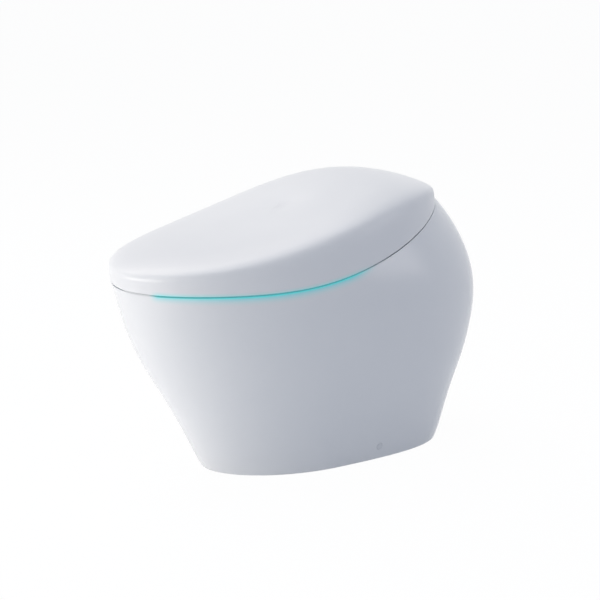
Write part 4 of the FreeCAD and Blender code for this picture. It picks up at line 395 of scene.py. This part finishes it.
# The strip's base colour: dark teal where the lamps light it, and at the back a darker grey of painted shade
# for the shadow inside the seam's gap.
strip_and_painted_gap_shade = tint(strip, off, (0.05, 0.12, 0.125), (0.36, 0.4, 0.43))
teal = tint(strip, lamps, (0.045, 0.5, 0.53), (0.07, 0.58, 0.61))
feed(
    strip,
    shader,
    Base_Color=tint(strip, on, (0.78, 0.79, 0.8), strip_and_painted_gap_shade),
    Emission_Color=tint(strip, on * (1 - off), (0, 0, 0), teal),
)

tape, shader = start("lamp_strip", Roughness=0.5, Emission_Strength=0.6)
chips = noise(tape, 120.0, 1.0)
feed(
    tape,
    shader,
    Base_Color=tint(tape, chips, (0.6, 0.6, 0.5), (0.75, 0.75, 0.6)),
    Emission_Color=tint(tape, chips, (0.05, 0.4, 0.42), (0.1, 0.6, 0.62)),
)

# %% [markdown]
# ## Giving each part its finish
# The record already says which slot each part uses, so one loop hands out the finishes.

# %% Assign the finishes
for entry in frame["record"]["subparts"]:
    part = nodes[entry["node"]]
    part.data.materials.clear()
    part.data.materials.append(finishes[entry["material_slot"]])
unused = sorted(set(finishes) - {entry["material_slot"] for entry in frame["record"]["subparts"]})
print("finishes without a part:", unused)

# %% [markdown]
# ## Surround
# The photograph has a pure white surround and very soft light: bright from the sitter's front, less from
# above, and least on the long side, where it is a little blue. Blender's world can be white to the camera
# and in reflections, and dim and bluish where it lights the object, because Light Path tells the rays apart.

# %% White to the eye, bluish to the object
AMBIENT_COLOUR, AMBIENT_STRENGTH = (0.62, 0.75, 1.0), 0.29
WHITE = (1.0, 1.0, 1.0, 1.0)


def seen_directly(shade):
    """1 for rays from the camera, off a gloss or through glass, and 0 for the rays that light things."""
    rays = shade.node("ShaderNodeLightPath", out="Is Camera Ray")
    outputs = rays.socket.node.outputs
    glossy, through = (Shade(shade.tree, outputs[name]) for name in ("Is Glossy Ray", "Is Transmission Ray"))
    return shade.math("MAXIMUM", rays, shade.math("MAXIMUM", glossy, through))


def finish_tree(shade, kind, surface):
    """Ends a node tree: the last shader goes into the output node."""
    output = shade.tree.nodes.new(kind)
    shade.tree.links.new(surface.socket, output.inputs["Surface"])


world = bpy.data.worlds.new("surround")
bpy.context.scene.world = world
world.use_nodes = True
world.node_tree.nodes.clear()
sky = Shade(world.node_tree)
ambient = sky.node("ShaderNodeBackground", {}, {"Color": (*AMBIENT_COLOUR, 1), "Strength": AMBIENT_STRENGTH})
white = sky.node("ShaderNodeBackground", {}, {"Color": WHITE, "Strength": 1.0})
mixed = sky.node("ShaderNodeMixShader", {}, {0: seen_directly(sky), 1: ambient, 2: white})
finish_tree(sky, "ShaderNodeOutputWorld", mixed)
print("surround:", world.name)

# %% [markdown]
# ## Floor
# The floor in the photograph is as white as the surround, with hardly a shadow. A wide sheet of white paper
# is mostly plain white to the camera and keeps a little of its own shading, so that the object stands on it.
# It throws much light back up, which is why the lower body is so bright.

# %% Studio floor
FLOOR_HALF, FLOOR_DROP = 12.0, 0.0004
PAPER_COLOUR = (0.8, 0.82, 0.85, 1.0)
PAPER_WHITE, PAPER_GLOW = 0.95, 1.02

paper = bpy.data.materials.new("studio_paper")
paper.use_nodes = True
paper.node_tree.nodes.clear()
sheet = Shade(paper.node_tree)
bounce = sheet.node("ShaderNodeBsdfDiffuse", {}, {"Color": PAPER_COLOUR})
glow = sheet.node("ShaderNodeEmission", {}, {"Color": WHITE, "Strength": PAPER_GLOW})
mixed = sheet.node("ShaderNodeMixShader", {}, {0: seen_directly(sheet) * PAPER_WHITE, 1: bounce, 2: glow})
finish_tree(sheet, "ShaderNodeOutputMaterial", mixed)
plane = bpy.data.meshes.new("studio_floor")
corners = [(x * FLOOR_HALF, y * FLOOR_HALF, -FLOOR_DROP) for x, y in ((-1, -1), (1, -1), (1, 1), (-1, 1))]
plane.from_pydata(corners, [], [(0, 1, 2, 3)])
plane.materials.append(paper)
floor = bpy.data.objects.new("studio_floor", plane)
bpy.context.scene.collection.objects.link(floor)
print("floor:", FLOOR_HALF * 2, "m wide")

# %% [markdown]
# ## Lamps
# Four wide area lamps do the rest: a low one in front of the sitter, one overhead, one high on the far side
# and a faint one behind. They are large and far off, so every shade on the glaze runs softly into the next.


# %% Soft lamps
def soft_lamp(name, place, width, height, power, colour):
    """A rectangular area lamp that looks at the middle of the object."""
    data = bpy.data.lights.new(name, "AREA")
    data.shape = "RECTANGLE"
    data.size, data.size_y = width, height
    data.energy = power
    data.color = colour
    lamp = bpy.data.objects.new(name, data)
    lamp.location = place
    lamp.rotation_euler = (Vector(OBJECT_MIDDLE) - Vector(place)).to_track_quat("-Z", "Y").to_euler()
    bpy.context.scene.collection.objects.link(lamp)
    return lamp


OBJECT_MIDDLE = (0.0, 0.0, 0.28)
soft_lamp("front_lamp", (0.0, -3.2, 0.35), 2.8, 0.6, 56.0, (1.0, 0.95, 0.88))
soft_lamp("top_lamp", (0.1, -0.2, 3.4), 2.6, 2.6, 32.0, (1.0, 0.99, 0.98))
soft_lamp("window_lamp", (-1.7, -0.4, 2.9), 2.0, 2.0, 28.0, (1.0, 0.92, 0.84))
soft_lamp("rear_lamp", (2.4, 2.6, 1.1), 1.8, 1.8, 17.0, (1.0, 0.95, 0.93))
print("lamps:", [light.name for light in bpy.data.lights])

# %% [markdown]
# ## Camera
# The camera was worked out from the photograph: a long lens, level, about sixty degrees round from the front
# and seventeen degrees up, with a small shift because the object isn't in the middle of the frame.

# %% Camera
AZIMUTH, ELEVATION = math.radians(60.9), math.radians(16.94)
DISTANCE = 3.265
TARGET = Vector((0.0, -0.003, 0.2704))
FRAME_PIXELS = 600
FOCAL_PIXELS = 1615.9
TARGET_PIXEL = (294.43, 323.74)

back = Vector((
    math.sin(AZIMUTH) * math.cos(ELEVATION),
    -math.cos(AZIMUTH) * math.cos(ELEVATION),
    math.sin(ELEVATION),
))
right = Vector((math.cos(AZIMUTH), math.sin(AZIMUTH), 0.0))
upward = back.cross(right)
camera_data = bpy.data.cameras.new("camera")
camera_data.sensor_fit = "HORIZONTAL"
camera_data.sensor_width = 36.0
camera_data.lens = 36.0 * FOCAL_PIXELS / FRAME_PIXELS
camera_data.shift_x = 0.5 - TARGET_PIXEL[0] / FRAME_PIXELS
camera_data.shift_y = TARGET_PIXEL[1] / FRAME_PIXELS - 0.5
camera = bpy.data.objects.new("camera", camera_data)
turn = Matrix((right, upward, back)).transposed().to_4x4()
camera.matrix_world = Matrix.Translation(TARGET + back * DISTANCE) @ turn
bpy.context.scene.collection.objects.link(camera)
bpy.context.scene.camera = camera
bpy.context.scene.view_settings.view_transform = "Standard"
print("camera at", tuple(round(v, 3) for v in camera.location))
